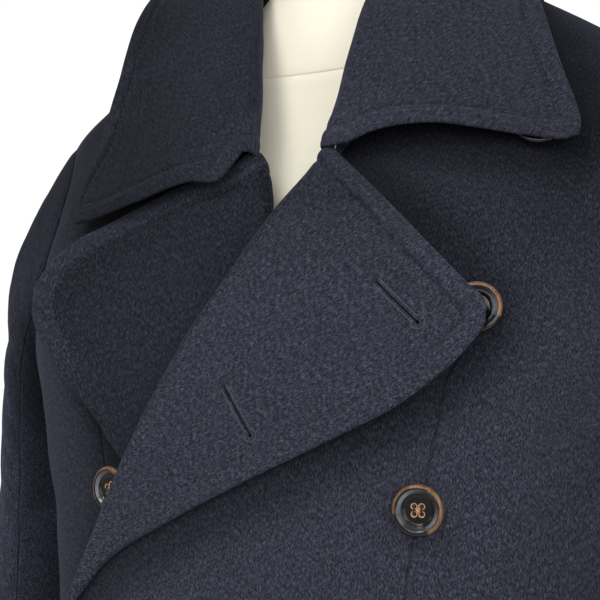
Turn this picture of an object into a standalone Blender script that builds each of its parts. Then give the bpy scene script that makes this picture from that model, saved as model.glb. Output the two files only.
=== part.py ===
"""Double-breasted wool overcoat, left front over right, on a limbless dress form with a round stand.

Metres, +Z up. The front faces -Y and the wearer's left is +X. The origin is on the floor, under the
centre of the whole. Every cloth piece is a thin wall: its inner side is worked out from the named
sizes below, and its outer side is moved out by the cloth's thickness. Pieces meet with a small gap.
"""
import math

import bmesh
import bpy
import numpy as np

# ---------------------------------------------------------------- cloth sizes
CLOTH = 0.0025
LAPEL_CLOTH = 0.0035
SEAM_GAP = 0.0003
HEM_HEIGHT = 0.420
UNDERARM_HEIGHT = 1.234
SHOULDER_HEIGHT = 1.434
ARMHOLE_HALF_DEPTH = 0.083

# The coat's inner surface, as level rings from the hem to the neck.
# height, half_width, front_depth, back_depth, power of the rounded ring
BODY_RINGS = (
    (0.420, 0.298, 0.206, 0.214, 2.10),
    (0.560, 0.282, 0.197, 0.203, 2.10),
    (0.700, 0.264, 0.187, 0.190, 2.12),
    (0.900, 0.236, 0.171, 0.166, 2.22),
    (1.070, 0.211, 0.156, 0.143, 2.45),
    (1.130, 0.2175, 0.153, 0.142, 2.65),
    (1.180, 0.2245, 0.151, 0.143, 2.75),
    (1.230, 0.2320, 0.147, 0.147, 2.90),
    (1.265, 0.2410, 0.143, 0.149, 2.95),
    (1.310, 0.244, 0.136, 0.150, 2.80),
    (1.350, 0.245, 0.124, 0.148, 2.60),
    (1.400, 0.244, 0.103, 0.138, 2.35),
    (1.434, 0.234, 0.086, 0.122, 2.20),
    (1.455, 0.210, 0.076, 0.109, 2.12),
    (1.475, 0.182, 0.069, 0.098, 2.06),
    (1.503, 0.137, 0.062, 0.086, 2.02),
    (1.522, 0.105, 0.058, 0.079, 2.00),
    (1.535, 0.081, 0.055, 0.072, 2.00),
    (1.560, 0.066, 0.050, 0.066, 2.00),
)

# Soft flutes that open towards the hem: waves round the ring, phase in degrees, share of the flute.
FLUTES = ((5, 20.0, 0.55), (8, 75.0, 0.30), (3, 140.0, 0.35))
FLUTE_DEPTH = 0.009
FLUTE_TOP = 1.05

# Inner edges of the two fronts. x is measured towards the front's own side, so it is negative
# where the front passes the centre. share runs from the hem to the side of the neck.
# share, x, height
LEFT_EDGE = (
    (0.000, -0.136, 0.420),
    (0.220, -0.138, 0.700),
    (0.400, -0.140, 0.940),
    (0.500, -0.141, 1.058),
    (0.530, -0.134, 1.082),
    (0.560, -0.119, 1.102),
    (0.600, -0.099, 1.138),
    (0.645, -0.076, 1.182),
    (0.700, -0.046, 1.236),
    (0.740, -0.023, 1.273),
    (0.775, -0.001, 1.302),
    (0.810, 0.020, 1.331),
    (0.840, 0.033, 1.350),
    (0.870, 0.042, 1.368),
    (0.900, 0.0455, 1.381),
    (0.912, 0.0510, 1.390),
    (0.930, 0.0550, 1.416),
    (0.950, 0.0595, 1.450),
    (0.970, 0.0660, 1.487),
    (0.988, 0.0750, 1.518),
    (1.000, 0.0820, 1.5345),
)
RIGHT_EDGE = (
    (0.000, -0.136, 0.420),
    (0.220, -0.137, 0.700),
    (0.400, -0.139, 0.940),
    (0.500, -0.138, 1.045),
    (0.530, -0.134, 1.072),
    (0.600, -0.110, 1.125),
    (0.670, -0.078, 1.190),
    (0.735, -0.048, 1.250),
    (0.795, -0.021, 1.305),
    (0.840, -0.001, 1.340),
    (0.865, 0.0045, 1.359),
    (0.883, 0.0110, 1.373),
    (0.900, 0.0185, 1.3845),
    (0.912, 0.0275, 1.396),
    (0.930, 0.0370, 1.423),
    (0.950, 0.0480, 1.455),
    (0.970, 0.0600, 1.489),
    (0.988, 0.0735, 1.518),
    (1.000, 0.0820, 1.5345),
)
BREAK_SHARE = 0.530
LEFT_BREAK_HEIGHT = 1.082
GORGE_SHARE = 0.900

# Outer side of a front: the side seam up to the underarm, then the armhole.
# share, height
SIDE_SEAM = ((0.000, 0.420), (0.220, 0.700), (0.400, 0.930), (0.530, 1.090), (0.640, 1.234))
UNDERARM_SHARE = 0.640

# Rows of the fronts and the backs, as shares. Above the underarm they end on the armhole, at the
# same places as the sleeves' columns. The collar starts on the first row above the gorge.
SKIRT_ROWS = (0.0, 0.0667, 0.1333, 0.2, 0.2667, 0.3333, 0.4, 0.4433, 0.4867)
LAPEL_ROWS = (0.53, 0.5667, 0.6033, 0.64, 0.6725, 0.705, 0.7375, 0.77, 0.8025, 0.835, 0.8675, 0.9)
COLLAR_SEAM_ROWS = (0.912, 0.93, 0.95, 0.97, 0.985, 1.0)
FRONT_COLUMNS = 12
BACK_ROWS = (0.0, 0.08, 0.16, 0.24, 0.32, 0.40, 0.48, 0.56, 0.64)
BACK_HOLE_ROWS = (0.692, 0.744, 0.796, 0.848, 0.9, 0.925, 0.95, 0.975, 1.0)
BACK_NECK_COLUMNS = 4
BACK_SHOULDER_COLUMNS = 6

# The back: share of the rows, height of the centre seam.
CENTRE_BACK = ((0.000, 0.420), (0.550, 1.060), (0.800, 1.340), (1.000, 1.5165))
NECK_SIDE_HEIGHT = 1.5345
NECK_SHARE = 0.30

# Turned-back lapels. share runs from the break to the gorge; x is towards the front's own side.
# share, x, height
LEFT_LAPEL_EDGE = (
    (0.00, -0.126, 1.086),
    (0.06, -0.111, 1.108),
    (0.14, -0.086, 1.131),
    (0.24, -0.045, 1.155),
    (0.35, -0.003, 1.176),
    (0.47, 0.045, 1.1985),
    (0.58, 0.077, 1.214),
    (0.69, 0.103, 1.228),
    (0.79, 0.1265, 1.247),
    (0.87, 0.139, 1.260),
    (0.93, 0.1455, 1.269),
    (1.00, 0.1470, 1.279),
)
RIGHT_LAPEL_EDGE = (
    (0.00, -0.131, 1.070),
    (0.12, -0.098, 1.090),
    (0.22, -0.058, 1.110),
    (0.32, -0.010, 1.130),
    (0.42, 0.035, 1.150),
    (0.52, 0.072, 1.170),
    (0.62, 0.098, 1.195),
    (0.72, 0.113, 1.220),
    (0.82, 0.131, 1.247),
    (0.91, 0.146, 1.272),
    (0.97, 0.1515, 1.288),
    (1.00, 0.1520, 1.297),
)
# Top edges of the lapels, from the gorge to the peak. share, x, height
LEFT_LAPEL_TOP = (
    (0.00, 0.0455, 1.380),
    (0.12, 0.0580, 1.3680),
    (0.33, 0.0819, 1.3462),
    (0.66, 0.1155, 1.3139),
    (0.88, 0.1380, 1.2916),
    (0.97, 0.1455, 1.2835),
    (1.00, 0.1470, 1.279),
)
RIGHT_LAPEL_TOP = (
    (0.00, 0.0185, 1.3845),
    (0.07, 0.0270, 1.3740),
    (0.23, 0.0500, 1.3685),
    (0.55, 0.0940, 1.3550),
    (0.75, 0.1200, 1.3410),
    (0.88, 0.1370, 1.3275),
    (0.97, 0.1495, 1.3080),
    (1.00, 0.1520, 1.297),
)
LAPEL_COLUMNS = 6
FOLD_SEGMENTS = 4
FOLD_RADIUS = 0.004
PRESSED_RADIUS = 0.0015
LAPEL_REST = 0.0012
COLLAR_REST = 0.0010
COLLAR_UPWARD = 0.06

# How far the lapels' points stand off. The right one lifts beyond the left lapel's roll.
LEFT_LAPEL_STAND = 0.0095
RIGHT_LAPEL_STAND = 0.034
RIGHT_STAND_START = 0.012
RIGHT_STAND_WIDTH = 0.120
RIGHT_STAND_POWER = 4

# How far the left front stands out over what lies under it: the right front, and the right lapel.
OVERLAP_LIFT = 0.0050
LAPEL_LIFT = 0.0125
OVERLAP_END = (0.146, 0.180)
OVERLAP_TOP = (1.440, 1.380)
LAPEL_LIFT_START = (1.020, 1.070)
LAPEL_LIFT_TOP = (1.385, 1.335)

# The collar, from the left gorge round the back of the neck to the right gorge. Every table is for
# one side, with its share running from the gorge to the centre back.
NECK_SIDE_SHARE = 0.72
# Fold line: share, x, y, height
LEFT_COLLAR_FOLD = (
    (0.00, 0.0465, -0.1240, 1.3895),
    (0.16, 0.0500, -0.115, 1.415),
    (0.32, 0.051, -0.098, 1.450),
    (0.48, 0.053, -0.075, 1.492),
    (0.60, 0.061, -0.050, 1.532),
    (0.72, 0.069, -0.008, 1.562),
    (0.86, 0.0550, 0.050, 1.570),
    (0.94, 0.0260, 0.078, 1.569),
    (1.00, 0.0000, 0.083, 1.568),
)
RIGHT_COLLAR_FOLD = (
    (0.00, 0.0165, -0.1235, 1.3945),
    (0.16, 0.0200, -0.115, 1.419),
    (0.32, 0.0290, -0.098, 1.451),
    (0.48, 0.0410, -0.076, 1.491),
    (0.60, 0.0550, -0.051, 1.531),
    (0.72, 0.0690, -0.008, 1.562),
    (0.86, 0.0550, 0.050, 1.570),
    (0.94, 0.0260, 0.078, 1.569),
    (1.00, 0.0000, 0.083, 1.568),
)
# Front edge of the leaf, from the fold to the point: share, x, height, stand over the coat
LEFT_COLLAR_FRONT = (
    (0.00, 0.0465, 1.3895, 0.0050),
    (0.15, 0.0660, 1.3885, 0.0070),
    (0.40, 0.1042, 1.3890, 0.0090),
    (0.62, 0.1337, 1.3850, 0.0100),
    (0.83, 0.1609, 1.3803, 0.0105),
    (0.96, 0.1800, 1.3785, 0.0110),
    (1.00, 0.1855, 1.3810, 0.0110),
)
RIGHT_COLLAR_FRONT = (
    (0.00, 0.0165, 1.3945, 0.0060),
    (0.08, 0.0260, 1.3730, 0.0080),
    (0.22, 0.0490, 1.3670, 0.0110),
    (0.52, 0.0901, 1.3525, 0.0150),
    (0.84, 0.1343, 1.3425, 0.0185),
    (0.95, 0.1470, 1.3430, 0.0185),
    (1.00, 0.1530, 1.3485, 0.0180),
)
COLLAR_FRONT_HOLD = 0.26
# Outer edge of the leaf: share, x and y of the place under it seen from above, stand over the coat
LEFT_COLLAR_EDGE = (
    (0.00, 0.1855, -0.0850, 0.0110),
    (0.05, 0.1862, -0.0820, 0.0105),
    (0.14, 0.1838, -0.0771, 0.0100),
    (0.28, 0.1715, -0.0645, 0.0090),
    (0.42, 0.1592, -0.0478, 0.0085),
    (0.52, 0.1478, -0.0321, 0.0085),
    (0.62, 0.1400, -0.0100, 0.0085),
    (0.72, 0.1340, 0.0200, 0.0085),
    (0.86, 0.0960, 0.0780, 0.0085),
    (0.94, 0.0440, 0.1030, 0.0085),
    (1.00, 0.0000, 0.1070, 0.0085),
)
RIGHT_COLLAR_EDGE = (
    (0.00, 0.1540, -0.1080, 0.0180),
    (0.05, 0.1570, -0.1035, 0.0155),
    (0.12, 0.1560, -0.0960, 0.0130),
    (0.20, 0.1500, -0.0890, 0.0135),
    (0.32, 0.1440, -0.0740, 0.0200),
    (0.43, 0.1379, -0.0547, 0.0290),
    (0.52, 0.1320, -0.0400, 0.0350),
    (0.61, 0.1220, -0.0240, 0.0400),
    (0.72, 0.1130, 0.0080, 0.0370),
    (0.86, 0.0860, 0.0740, 0.0200),
    (0.94, 0.0440, 0.1010, 0.0120),
    (1.00, 0.0000, 0.1070, 0.0085),
)
EDGE_STAND_GROWTH = 1.4
COLLAR_COLUMNS = 5
STAND_COLUMNS = 3

# Sleeves: share along the sleeve, outer x, outer height, inner x, inner height, y of the middle,
# half depth. The first row lies in the armhole.
SLEEVE_RINGS = (
    (0.000, 0.2390, 1.4340, 0.2360, 1.2345, 0.000, 0.0825),
    (0.015, 0.2430, 1.4310, 0.2395, 1.2335, 0.000, 0.0826),
    (0.060, 0.2540, 1.4180, 0.2430, 1.2270, 0.001, 0.0826),
    (0.130, 0.2670, 1.3930, 0.2445, 1.2130, 0.003, 0.0822),
    (0.220, 0.2765, 1.3540, 0.2450, 1.1950, 0.005, 0.0816),
    (0.340, 0.2840, 1.2900, 0.2430, 1.1640, 0.005, 0.0805),
    (0.460, 0.2895, 1.2100, 0.2400, 1.1180, 0.004, 0.0790),
    (0.600, 0.2960, 1.1000, 0.2390, 1.0400, 0.000, 0.0765),
    (0.740, 0.3030, 0.9800, 0.2450, 0.9500, -0.008, 0.0735),
    (0.880, 0.3100, 0.8800, 0.2530, 0.8700, -0.018, 0.0700),
    (1.000, 0.3160, 0.8000, 0.2600, 0.8000, -0.027, 0.0670),
)
SLEEVE_HEAD_SHARE = 0.20
SLEEVE_ROWS = 11
# Turns of the sleeve's columns round the armhole: 90 degrees at the shoulder, 180 in front.
TOP_SLEEVE_TURNS = (
    -12, 14, 40, 52.5, 65, 77.5, 90, 97.5, 105,
    115, 125, 134, 140, 156.25, 172.5, 188.75, 205,
)
UNDER_SLEEVE_TURNS = (205, 221.25, 237.5, 253.75, 270, 296, 322, 348)

# Buttons: row, x of the left column, height; and x of the right column where one shows.
BUTTON_ROWS = (
    (1, 0.1637, 1.3909, None),
    (2, 0.1414, 1.2807, None),
    (3, 0.1111, 1.1717, -0.1028),
    (4, 0.1060, 1.0560, -0.1050),
    (5, 0.1030, 0.9400, -0.1050),
)
BUTTON_RADIUS = 0.0145
BUTTON_HOLE_RADIUS = 0.0011
BUTTON_HOLE_OFFSET = 0.0020
# Turned profile of a button: radius, height over its underside
BUTTON_PROFILE = (
    (0.0000, 0.0000),
    (0.0105, 0.0000),
    (0.0138, 0.0010),
    (0.0145, 0.0024),
    (0.0141, 0.0040),
    (0.0126, 0.0046),
    (0.0108, 0.0040),
    (0.0094, 0.0026),
    (0.0060, 0.0021),
    (0.0000, 0.0021),
)
SHANK_RADIUS = 0.0018
SHANK_HEIGHT = 0.0018
SHANK_GAP = 0.0008
ROUND_SEGMENTS = 20

# The dress form, as level rings. height, half_width, front_depth, back_depth, power
FORM_RINGS = (
    (0.800, 0.166, 0.110, 0.116, 2.20),
    (0.860, 0.175, 0.117, 0.125, 2.20),
    (0.960, 0.168, 0.112, 0.116, 2.20),
    (1.080, 0.148, 0.104, 0.098, 2.25),
    (1.180, 0.160, 0.113, 0.106, 2.30),
    (1.280, 0.176, 0.118, 0.122, 2.30),
    (1.340, 0.185, 0.107, 0.127, 2.30),
    (1.390, 0.188, 0.089, 0.117, 2.25),
    (1.425, 0.184, 0.073, 0.100, 2.15),
    (1.450, 0.166, 0.064, 0.087, 2.08),
    (1.475, 0.134, 0.058, 0.077, 2.02),
    (1.500, 0.100, 0.053, 0.068, 2.00),
    (1.520, 0.072, 0.050, 0.061, 2.00),
    (1.540, 0.055, 0.048, 0.056, 2.00),
    (1.575, 0.050, 0.047, 0.053, 2.00),
    (1.620, 0.049, 0.046, 0.052, 2.00),
)
FORM_ROWS = 26
FORM_SEGMENTS = 28
CAP_HEIGHT = 0.020
BASE_RADIUS = 0.180
BASE_HEIGHT = 0.018
BASE_BEVEL = 0.005
POLE_RADIUS = 0.016
WHOLE_SHIFT_Y = -0.00295

# Steps over which the surfaces' normals are measured, in radians and in metres
SMALL_TURN = 0.002
SMALL_RISE = 0.002

# ---------------------------------------------------------------- colours: base colour, roughness, metallic
FINISHES = {
    "wool": ((0.035, 0.037, 0.052), 0.90, 0.0),
    "linen": ((0.86, 0.82, 0.70), 0.85, 0.0),
    "horn": ((0.030, 0.018, 0.012), 0.25, 0.0),
    "thread": ((0.020, 0.016, 0.016), 0.80, 0.0),
    "wood": ((0.42, 0.26, 0.14), 0.45, 0.0),
    "metal": ((0.10, 0.10, 0.11), 0.40, 1.0),
}


# ---------------------------------------------------------------- curves and the coat's surface
def smooth(knots, values, at):
    """Smooth curve through values at knots, read at the places in at."""
    knots = np.asarray(knots, float)
    values = np.asarray(values, float)
    at = np.clip(at, knots[0], knots[-1])
    slope = np.gradient(values, knots)
    i = np.clip(np.searchsorted(knots, at, side="right") - 1, 0, len(knots) - 2)
    span = knots[i + 1] - knots[i]
    t = (at - knots[i]) / span
    start = (1 + 2 * t) * (1 - t) ** 2 * values[i] + t * (1 - t) ** 2 * span * slope[i]
    end = t * t * (3 - 2 * t) * values[i + 1] + t * t * (t - 1) * span * slope[i + 1]
    return start + end


def read(table, at):
    """All columns of a table after its first, read at the places in at."""
    columns = np.array(table).T
    return [smooth(columns[0], column, at) for column in columns[1:]]


def step(low, high, value):
    """Smooth rise from 0 at low to 1 at high."""
    t = np.clip((value - low) / (high - low), 0, 1)
    return t * t * (3 - 2 * t)


def unit(vectors):
    length = np.linalg.norm(vectors, axis=-1, keepdims=True)
    return vectors / np.maximum(length, 1e-12)


def flute(angle, height):
    """Share by which a ring swells or shrinks at an angle, growing towards the hem."""
    wave = sum(share * np.cos(count * angle + math.radians(phase)) for count, phase, share in FLUTES)
    return FLUTE_DEPTH / BODY_RINGS[0][1] * wave * step(FLUTE_TOP, HEM_HEIGHT, height)


def ring_point(rings, angle, height):
    """Point on stacked rounded rings: 0 degrees at +X, -90 at the front."""
    half, front, back, power = read(rings, height)
    cosine = np.cos(angle)
    sine = np.sin(angle)
    depth = np.where(sine < 0, front, back)
    x = half * np.sign(cosine) * np.abs(cosine) ** (2 / power)
    y = depth * np.sign(sine) * np.abs(sine) ** (2 / power)
    return x, y


def body_base(angle, height):
    angle, height = np.broadcast_arrays(np.asarray(angle, float), np.asarray(height, float))
    x, y = ring_point(BODY_RINGS, angle, height)
    swell = 1 + flute(angle, height)
    return np.stack([x * swell, y * swell, height], axis=-1)


def body_normal(angle, height):
    across = body_base(angle + SMALL_TURN, height) - body_base(angle - SMALL_TURN, height)
    along = body_base(angle, height + SMALL_RISE) - body_base(angle, height - SMALL_RISE)
    return unit(np.cross(across, along))


def body(angle, height, lift=0.0):
    """Point on the coat's inner surface, moved out by lift."""
    return body_base(angle, height) + np.asarray(lift, float)[..., None] * body_normal(angle, height)


def front_angle(x, height):
    """Angle of the front's point at x."""
    half, front, back, power = read(BODY_RINGS, height)
    share = np.clip(np.abs(x) / half, 0, 1)
    return -np.arccos(np.sign(x) * share ** (power / 2))


def side_angle(y, height):
    """Angle of the left side's point at y."""
    half, front, back, power = read(BODY_RINGS, height)
    depth = np.where(y < 0, front, back)
    share = np.clip(np.abs(y) / depth, 0, 1)
    return np.sign(y) * np.arcsin(share ** (power / 2))


def mirrored(angle):
    """The same place on the wearer's right side."""
    return -math.pi - angle


def plan_point(x, y):
    """Angle and height of the surface point that lies at x, y seen from above."""
    low = np.full(np.shape(x), 1.20)
    high = np.full(np.shape(x), BODY_RINGS[-1][0])
    for _ in range(40):
        middle = (low + high) / 2
        half, front, back, power = read(BODY_RINGS, middle)
        depth = np.where(y < 0, front, back)
        outside = (np.abs(x) / half) ** power + (np.abs(y) / depth) ** power > 1
        high = np.where(outside, middle, high)
        low = np.where(outside, low, middle)
    height = (low + high) / 2
    half, front, back, power = read(BODY_RINGS, height)
    depth = np.where(y < 0, front, back)
    cosine = np.sign(x) * (np.abs(x) / half) ** (power / 2)
    sine = np.sign(y) * (np.abs(y) / depth) ** (power / 2)
    return np.arctan2(sine, cosine), height


def overlap(x, height):
    """How far the left front stands out over what lies under it."""
    covered = (1 - step(*OVERLAP_END, x)) * step(*OVERLAP_TOP, height)
    lapel = step(*LAPEL_LIFT_START, height) * step(*LAPEL_LIFT_TOP, height)
    return covered * (OVERLAP_LIFT + (LAPEL_LIFT - OVERLAP_LIFT) * lapel)


# ---------------------------------------------------------------- meshes
def material(name):
    made = bpy.data.materials.get(name)
    if made is None:
        colour, roughness, metallic = FINISHES[name]
        made = bpy.data.materials.new(name)
        made.use_nodes = True
        shader = made.node_tree.nodes["Principled BSDF"]
        shader.inputs["Base Color"].default_value = (*colour, 1.0)
        shader.inputs["Roughness"].default_value = roughness
        shader.inputs["Metallic"].default_value = metallic
        made.diffuse_color = (*colour, 1.0)
    return made


def new_object(name, mesh, finish):
    made = bpy.data.objects.new(name, mesh)
    made.location = (0, WHOLE_SHIFT_Y, 0)
    mesh.materials.append(material(finish))
    bpy.context.scene.collection.objects.link(made)
    return made


def mesh_object(name, points, faces, finish):
    mesh = bpy.data.meshes.new(name)
    mesh.from_pydata([tuple(p) for p in points], [], faces)
    work = bmesh.new()
    work.from_mesh(mesh)
    bmesh.ops.triangulate(work, faces=[f for f in work.faces if len(f.verts) == 4])
    bmesh.ops.recalc_face_normals(work, faces=work.faces)
    work.to_mesh(mesh)
    work.free()
    mesh.shade_smooth()
    mesh.set_sharp_from_angle(angle=math.radians(40))
    return new_object(name, mesh, finish)


def grid_normals(grid):
    across = np.gradient(grid, axis=1)
    along = np.gradient(grid, axis=0)
    return unit(np.cross(across, along))


def wall(name, inner, outer):
    """Closed cloth wall between two grids of the same size."""
    rows, columns = inner.shape[:2]
    count = rows * columns
    faces = []
    for r in range(rows - 1):
        for c in range(columns - 1):
            a = r * columns + c
            b = a + 1
            d = a + columns
            faces.append((a, b, b + columns, d))
            faces.append((count + a, count + d, count + b + columns, count + b))
    rim = [c for c in range(columns)]
    rim += [r * columns + columns - 1 for r in range(1, rows)]
    rim += [(rows - 1) * columns + c for c in range(columns - 2, -1, -1)]
    rim += [r * columns for r in range(rows - 2, 0, -1)]
    for a, b in zip(rim, rim[1:] + rim[:1]):
        faces.append((a, count + a, count + b, b))
    points = np.concatenate([inner.reshape(-1, 3), outer.reshape(-1, 3)])
    mesh_object(name, points, faces, "wool")


def ring_solid(name, rings, finish):
    """Closed solid through a stack of rings with equal numbers of points."""
    segments = len(rings[0])
    points = np.concatenate(rings)
    faces = []
    for r in range(len(rings) - 1):
        for s in range(segments):
            a = r * segments + s
            b = r * segments + (s + 1) % segments
            faces.append((a, b, b + segments, a + segments))
    faces.append(tuple(range(segments - 1, -1, -1)))
    faces.append(tuple((len(rings) - 1) * segments + s for s in range(segments)))
    return mesh_object(name, points, faces, finish)


def turned(profile, segments):
    """Rings of a turned solid; the profile's rows are radius and height."""
    angles = np.arange(segments) * 2 * math.pi / segments
    return [
        np.stack([r * np.cos(angles), r * np.sin(angles), np.full(segments, h)], axis=-1) for r, h in profile
    ]


# ---------------------------------------------------------------- the cloth pieces
def armhole(turn):
    """Angle and height on the left armhole seam: 90 degrees at the shoulder, 180 in front, 270 under."""
    middle = (SHOULDER_HEIGHT + UNDERARM_HEIGHT) / 2
    half = (SHOULDER_HEIGHT - UNDERARM_HEIGHT) / 2
    height = middle + half * np.sin(turn)
    y = ARMHOLE_HALF_DEPTH * np.cos(turn)
    return side_angle(y, height), height


def outer_side(share, direction):
    """Side seam and armhole of a front (direction -1) or a back (direction 1)."""
    low = share <= UNDERARM_SHARE
    height = read(SIDE_SEAM, share)[0]
    angle = side_angle(np.full_like(share, direction * SEAM_GAP / 2), height)
    climb = np.clip((share - UNDERARM_SHARE) / (1 - UNDERARM_SHARE), 0, 1)
    hole_angle, hole_height = armhole(np.radians(270 + direction * 180 * climb))
    seam = side_angle(np.full_like(share, direction * SEAM_GAP / 2), hole_height)
    hole_angle = direction * np.maximum(direction * hole_angle, direction * seam)
    return np.where(low, angle, hole_angle), np.where(low, height, hole_height)


def front_piece(name, edge, right):
    share = np.array(SKIRT_ROWS + LAPEL_ROWS + COLLAR_SEAM_ROWS)
    x, inner_height = read(edge, share)
    inner_angle = front_angle(x, inner_height)
    inner_angle[-1] = side_angle(np.array(-SEAM_GAP / 2), inner_height[-1])
    outer_angle, outer_height = outer_side(share, -1)
    across = np.linspace(0, 1, FRONT_COLUMNS + 1)
    angle = inner_angle[:, None] + (outer_angle - inner_angle)[:, None] * across
    height = inner_height[:, None] + (outer_height - inner_height)[:, None] * across
    lift = 0 * height if right else overlap(body_base(angle, height)[..., 0], height)
    angle = mirrored(angle) if right else angle
    wall(name, body(angle, height, lift), body(angle, height, lift + CLOTH))


def back_neck(share):
    """Angle and height on the back's neck edge, from the side of the neck to the centre back."""
    return share * math.pi / 2, NECK_SIDE_HEIGHT + (CENTRE_BACK[-1][1] - NECK_SIDE_HEIGHT) * share


def back_piece(name, right):
    share = np.array(BACK_ROWS + BACK_HOLE_ROWS)
    neck = np.linspace(0, NECK_SHARE, BACK_NECK_COLUMNS + 1)
    across = np.concatenate([neck, np.linspace(NECK_SHARE, 1, BACK_SHOULDER_COLUMNS + 1)[1:]])
    centre_height = read(CENTRE_BACK, share)[0]
    centre_angle = -front_angle(np.full_like(share, SEAM_GAP / 2), centre_height)
    outer_angle, outer_height = outer_side(share, 1)
    angle = centre_angle[:, None] + (outer_angle - centre_angle)[:, None] * across
    height = centre_height[:, None] + (outer_height - centre_height)[:, None] * across
    neck_angle, neck_height = back_neck(1 - np.clip(across / NECK_SHARE, 0, 1))
    shoulder = np.clip((across - NECK_SHARE) / (1 - NECK_SHARE), 0, 1)
    top_height = neck_height + (outer_height[-1] - NECK_SIDE_HEIGHT) * shoulder
    seam_angle = side_angle(np.full_like(across, SEAM_GAP / 2), top_height)
    top_angle = np.clip(neck_angle, seam_angle, centre_angle[-1])
    pull = step(0.60, 1.0, share)[:, None]
    angle = angle + pull * (top_angle - angle[-1])
    height = height + pull * (top_height - height[-1])
    angle = mirrored(angle) if right else angle
    wall(name, body(angle, height), body(angle, height, CLOTH))


def fold_frame(line, towards, outward):
    """Direction across the cloth and away from the body, at each point of a fold line."""
    along = unit(np.gradient(line, axis=0))
    flat = towards - np.sum(towards * along, axis=-1, keepdims=True) * along
    across = unit(flat)
    away = np.cross(along, across)
    sign = np.sign(np.sum(away * outward, axis=-1, keepdims=True))
    return across, unit(away * sign)


def fold_section(centre, across, away, radius):
    """Half-round turn of cloth about a fold, from its under side round to its upper side."""
    turn = np.linspace(0, math.pi, FOLD_SEGMENTS + 1)[:-1]
    radius = np.broadcast_to(radius, centre.shape[:1])[:, None, None]
    under = -np.cos(turn)[None, :, None] * away[:, None, :]
    outside = -np.sin(turn)[None, :, None] * across[:, None, :]
    return centre[:, None, :] + radius * (under + outside)


def lapel_grid(edge, lapel_edge, lapel_top, right):
    """Inner side of a lapel on its own side: the turn round the roll line, then the leaf."""
    share = (np.array(LAPEL_ROWS) - BREAK_SHARE) / (GORGE_SHARE - BREAK_SHARE)
    across = np.linspace(0, 1, LAPEL_COLUMNS + 1)
    roll_x, roll_height = read(edge, np.array(LAPEL_ROWS))
    edge_x, edge_height = read(lapel_edge, share)
    top_x, top_height = read(lapel_top, across)
    x = roll_x[:, None] + (edge_x - roll_x)[:, None] * across
    height = roll_height[:, None] + (edge_height - roll_height)[:, None] * across
    bend = (share**3)[:, None]
    x = x + bend * (top_x - x[-1])
    height = height + bend * (top_height - height[-1])
    angle = front_angle(x, height)
    if right:
        under = 0 * x
        radius = PRESSED_RADIUS + (FOLD_RADIUS - PRESSED_RADIUS) * step(0.80, 1.0, share)
        left_roll = np.interp(height, [row[2] for row in LEFT_EDGE], [row[1] for row in LEFT_EDGE])
        beyond = step(RIGHT_STAND_START, RIGHT_STAND_START + RIGHT_STAND_WIDTH, x + left_roll)
        stand = RIGHT_LAPEL_STAND * across**RIGHT_STAND_POWER * beyond
    else:
        under = overlap(x, height)
        radius = PRESSED_RADIUS + (FOLD_RADIUS - PRESSED_RADIUS) * step(0.0, 0.5, share)
        stand = LEFT_LAPEL_STAND * across**2 * step(0.30, 0.95, share)[:, None]
    start = under[:, 0] + CLOTH + 2 * radius
    rest = under + CLOTH + LAPEL_REST
    lift = rest + (start - rest[:, 0])[:, None] * (1 - step(0, 1, across)) + stand
    leaf = body(angle, height, lift)
    normal = body_normal(angle[:, 0], height[:, 0])
    middle = body(angle[:, 0], height[:, 0], under[:, 0] + CLOTH + radius)
    spread, away = fold_frame(middle, leaf[:, -1] - leaf[:, 0], normal)
    middle = middle - SEAM_GAP * spread
    return np.concatenate([fold_section(middle, spread, away, radius), leaf], axis=1)


def lapel_piece(name, edge, lapel_edge, lapel_top, right):
    inner = lapel_grid(edge, lapel_edge, lapel_top, right)
    outer = inner + LAPEL_CLOTH * grid_normals(inner)
    side = (-1, 1, 1) if right else (1, 1, 1)
    wall(name, inner * side, outer * side)


def with_middles(rows):
    """The rows, with the middle of each pair of neighbours set between them."""
    made = np.empty((2 * len(rows) - 1,) + rows.shape[1:])
    made[::2] = rows
    made[1::2] = (rows[:-1] + rows[1:]) / 2
    return made


def collar_side(edge, fold_table, front_table, edge_table, right):
    """Neck seam, its outward direction, fold line and lying leaf of one side of the collar."""
    across = np.linspace(0, 1, COLLAR_COLUMNS + 1)
    seam_share = np.array(COLLAR_SEAM_ROWS)
    climb = (seam_share - seam_share[0]) / (1 - seam_share[0])
    round_back = np.linspace(0, 1, BACK_NECK_COLUMNS + 1)[1:]
    half = np.concatenate([NECK_SIDE_SHARE * climb, NECK_SIDE_SHARE + (1 - NECK_SIDE_SHARE) * round_back])
    half = with_middles(half)
    seam_x, front_height = read(edge, seam_share)
    back_angle, back_height = back_neck(round_back)
    seam_angle = np.concatenate([front_angle(seam_x, front_height), back_angle])
    seam_height = np.concatenate([front_height, back_height])
    under = 0 * seam_height if right else overlap(body_base(seam_angle, seam_height)[:, 0], seam_height)
    seam = with_middles(body(seam_angle, seam_height, under))
    normal = unit(with_middles(body_normal(seam_angle, seam_height)))
    under = with_middles(under)
    fold = np.stack(read(fold_table, half), axis=-1)
    edge_x, edge_y, stand = read(edge_table, half)
    x = seam[:, 0, None] + (edge_x - seam[:, 0])[:, None] * across
    y = seam[:, 1, None] + (edge_y - seam[:, 1])[:, None] * across
    angle, height = plan_point(x, y)
    lift = under[:, None] * (1 - across) + stand[:, None] * across**EDGE_STAND_GROWTH + COLLAR_REST
    front_x, front_height, front_stand = read(front_table, across)
    hold = (1 - step(0, COLLAR_FRONT_HOLD, half))[:, None]
    angle = angle + hold * (front_angle(front_x, front_height) - angle[0])
    height = height + hold * (front_height - height[0])
    lift = lift + hold * (front_stand - lift[0])
    lying = body(angle, height, CLOTH + lift)
    return seam, normal, fold, lying


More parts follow.
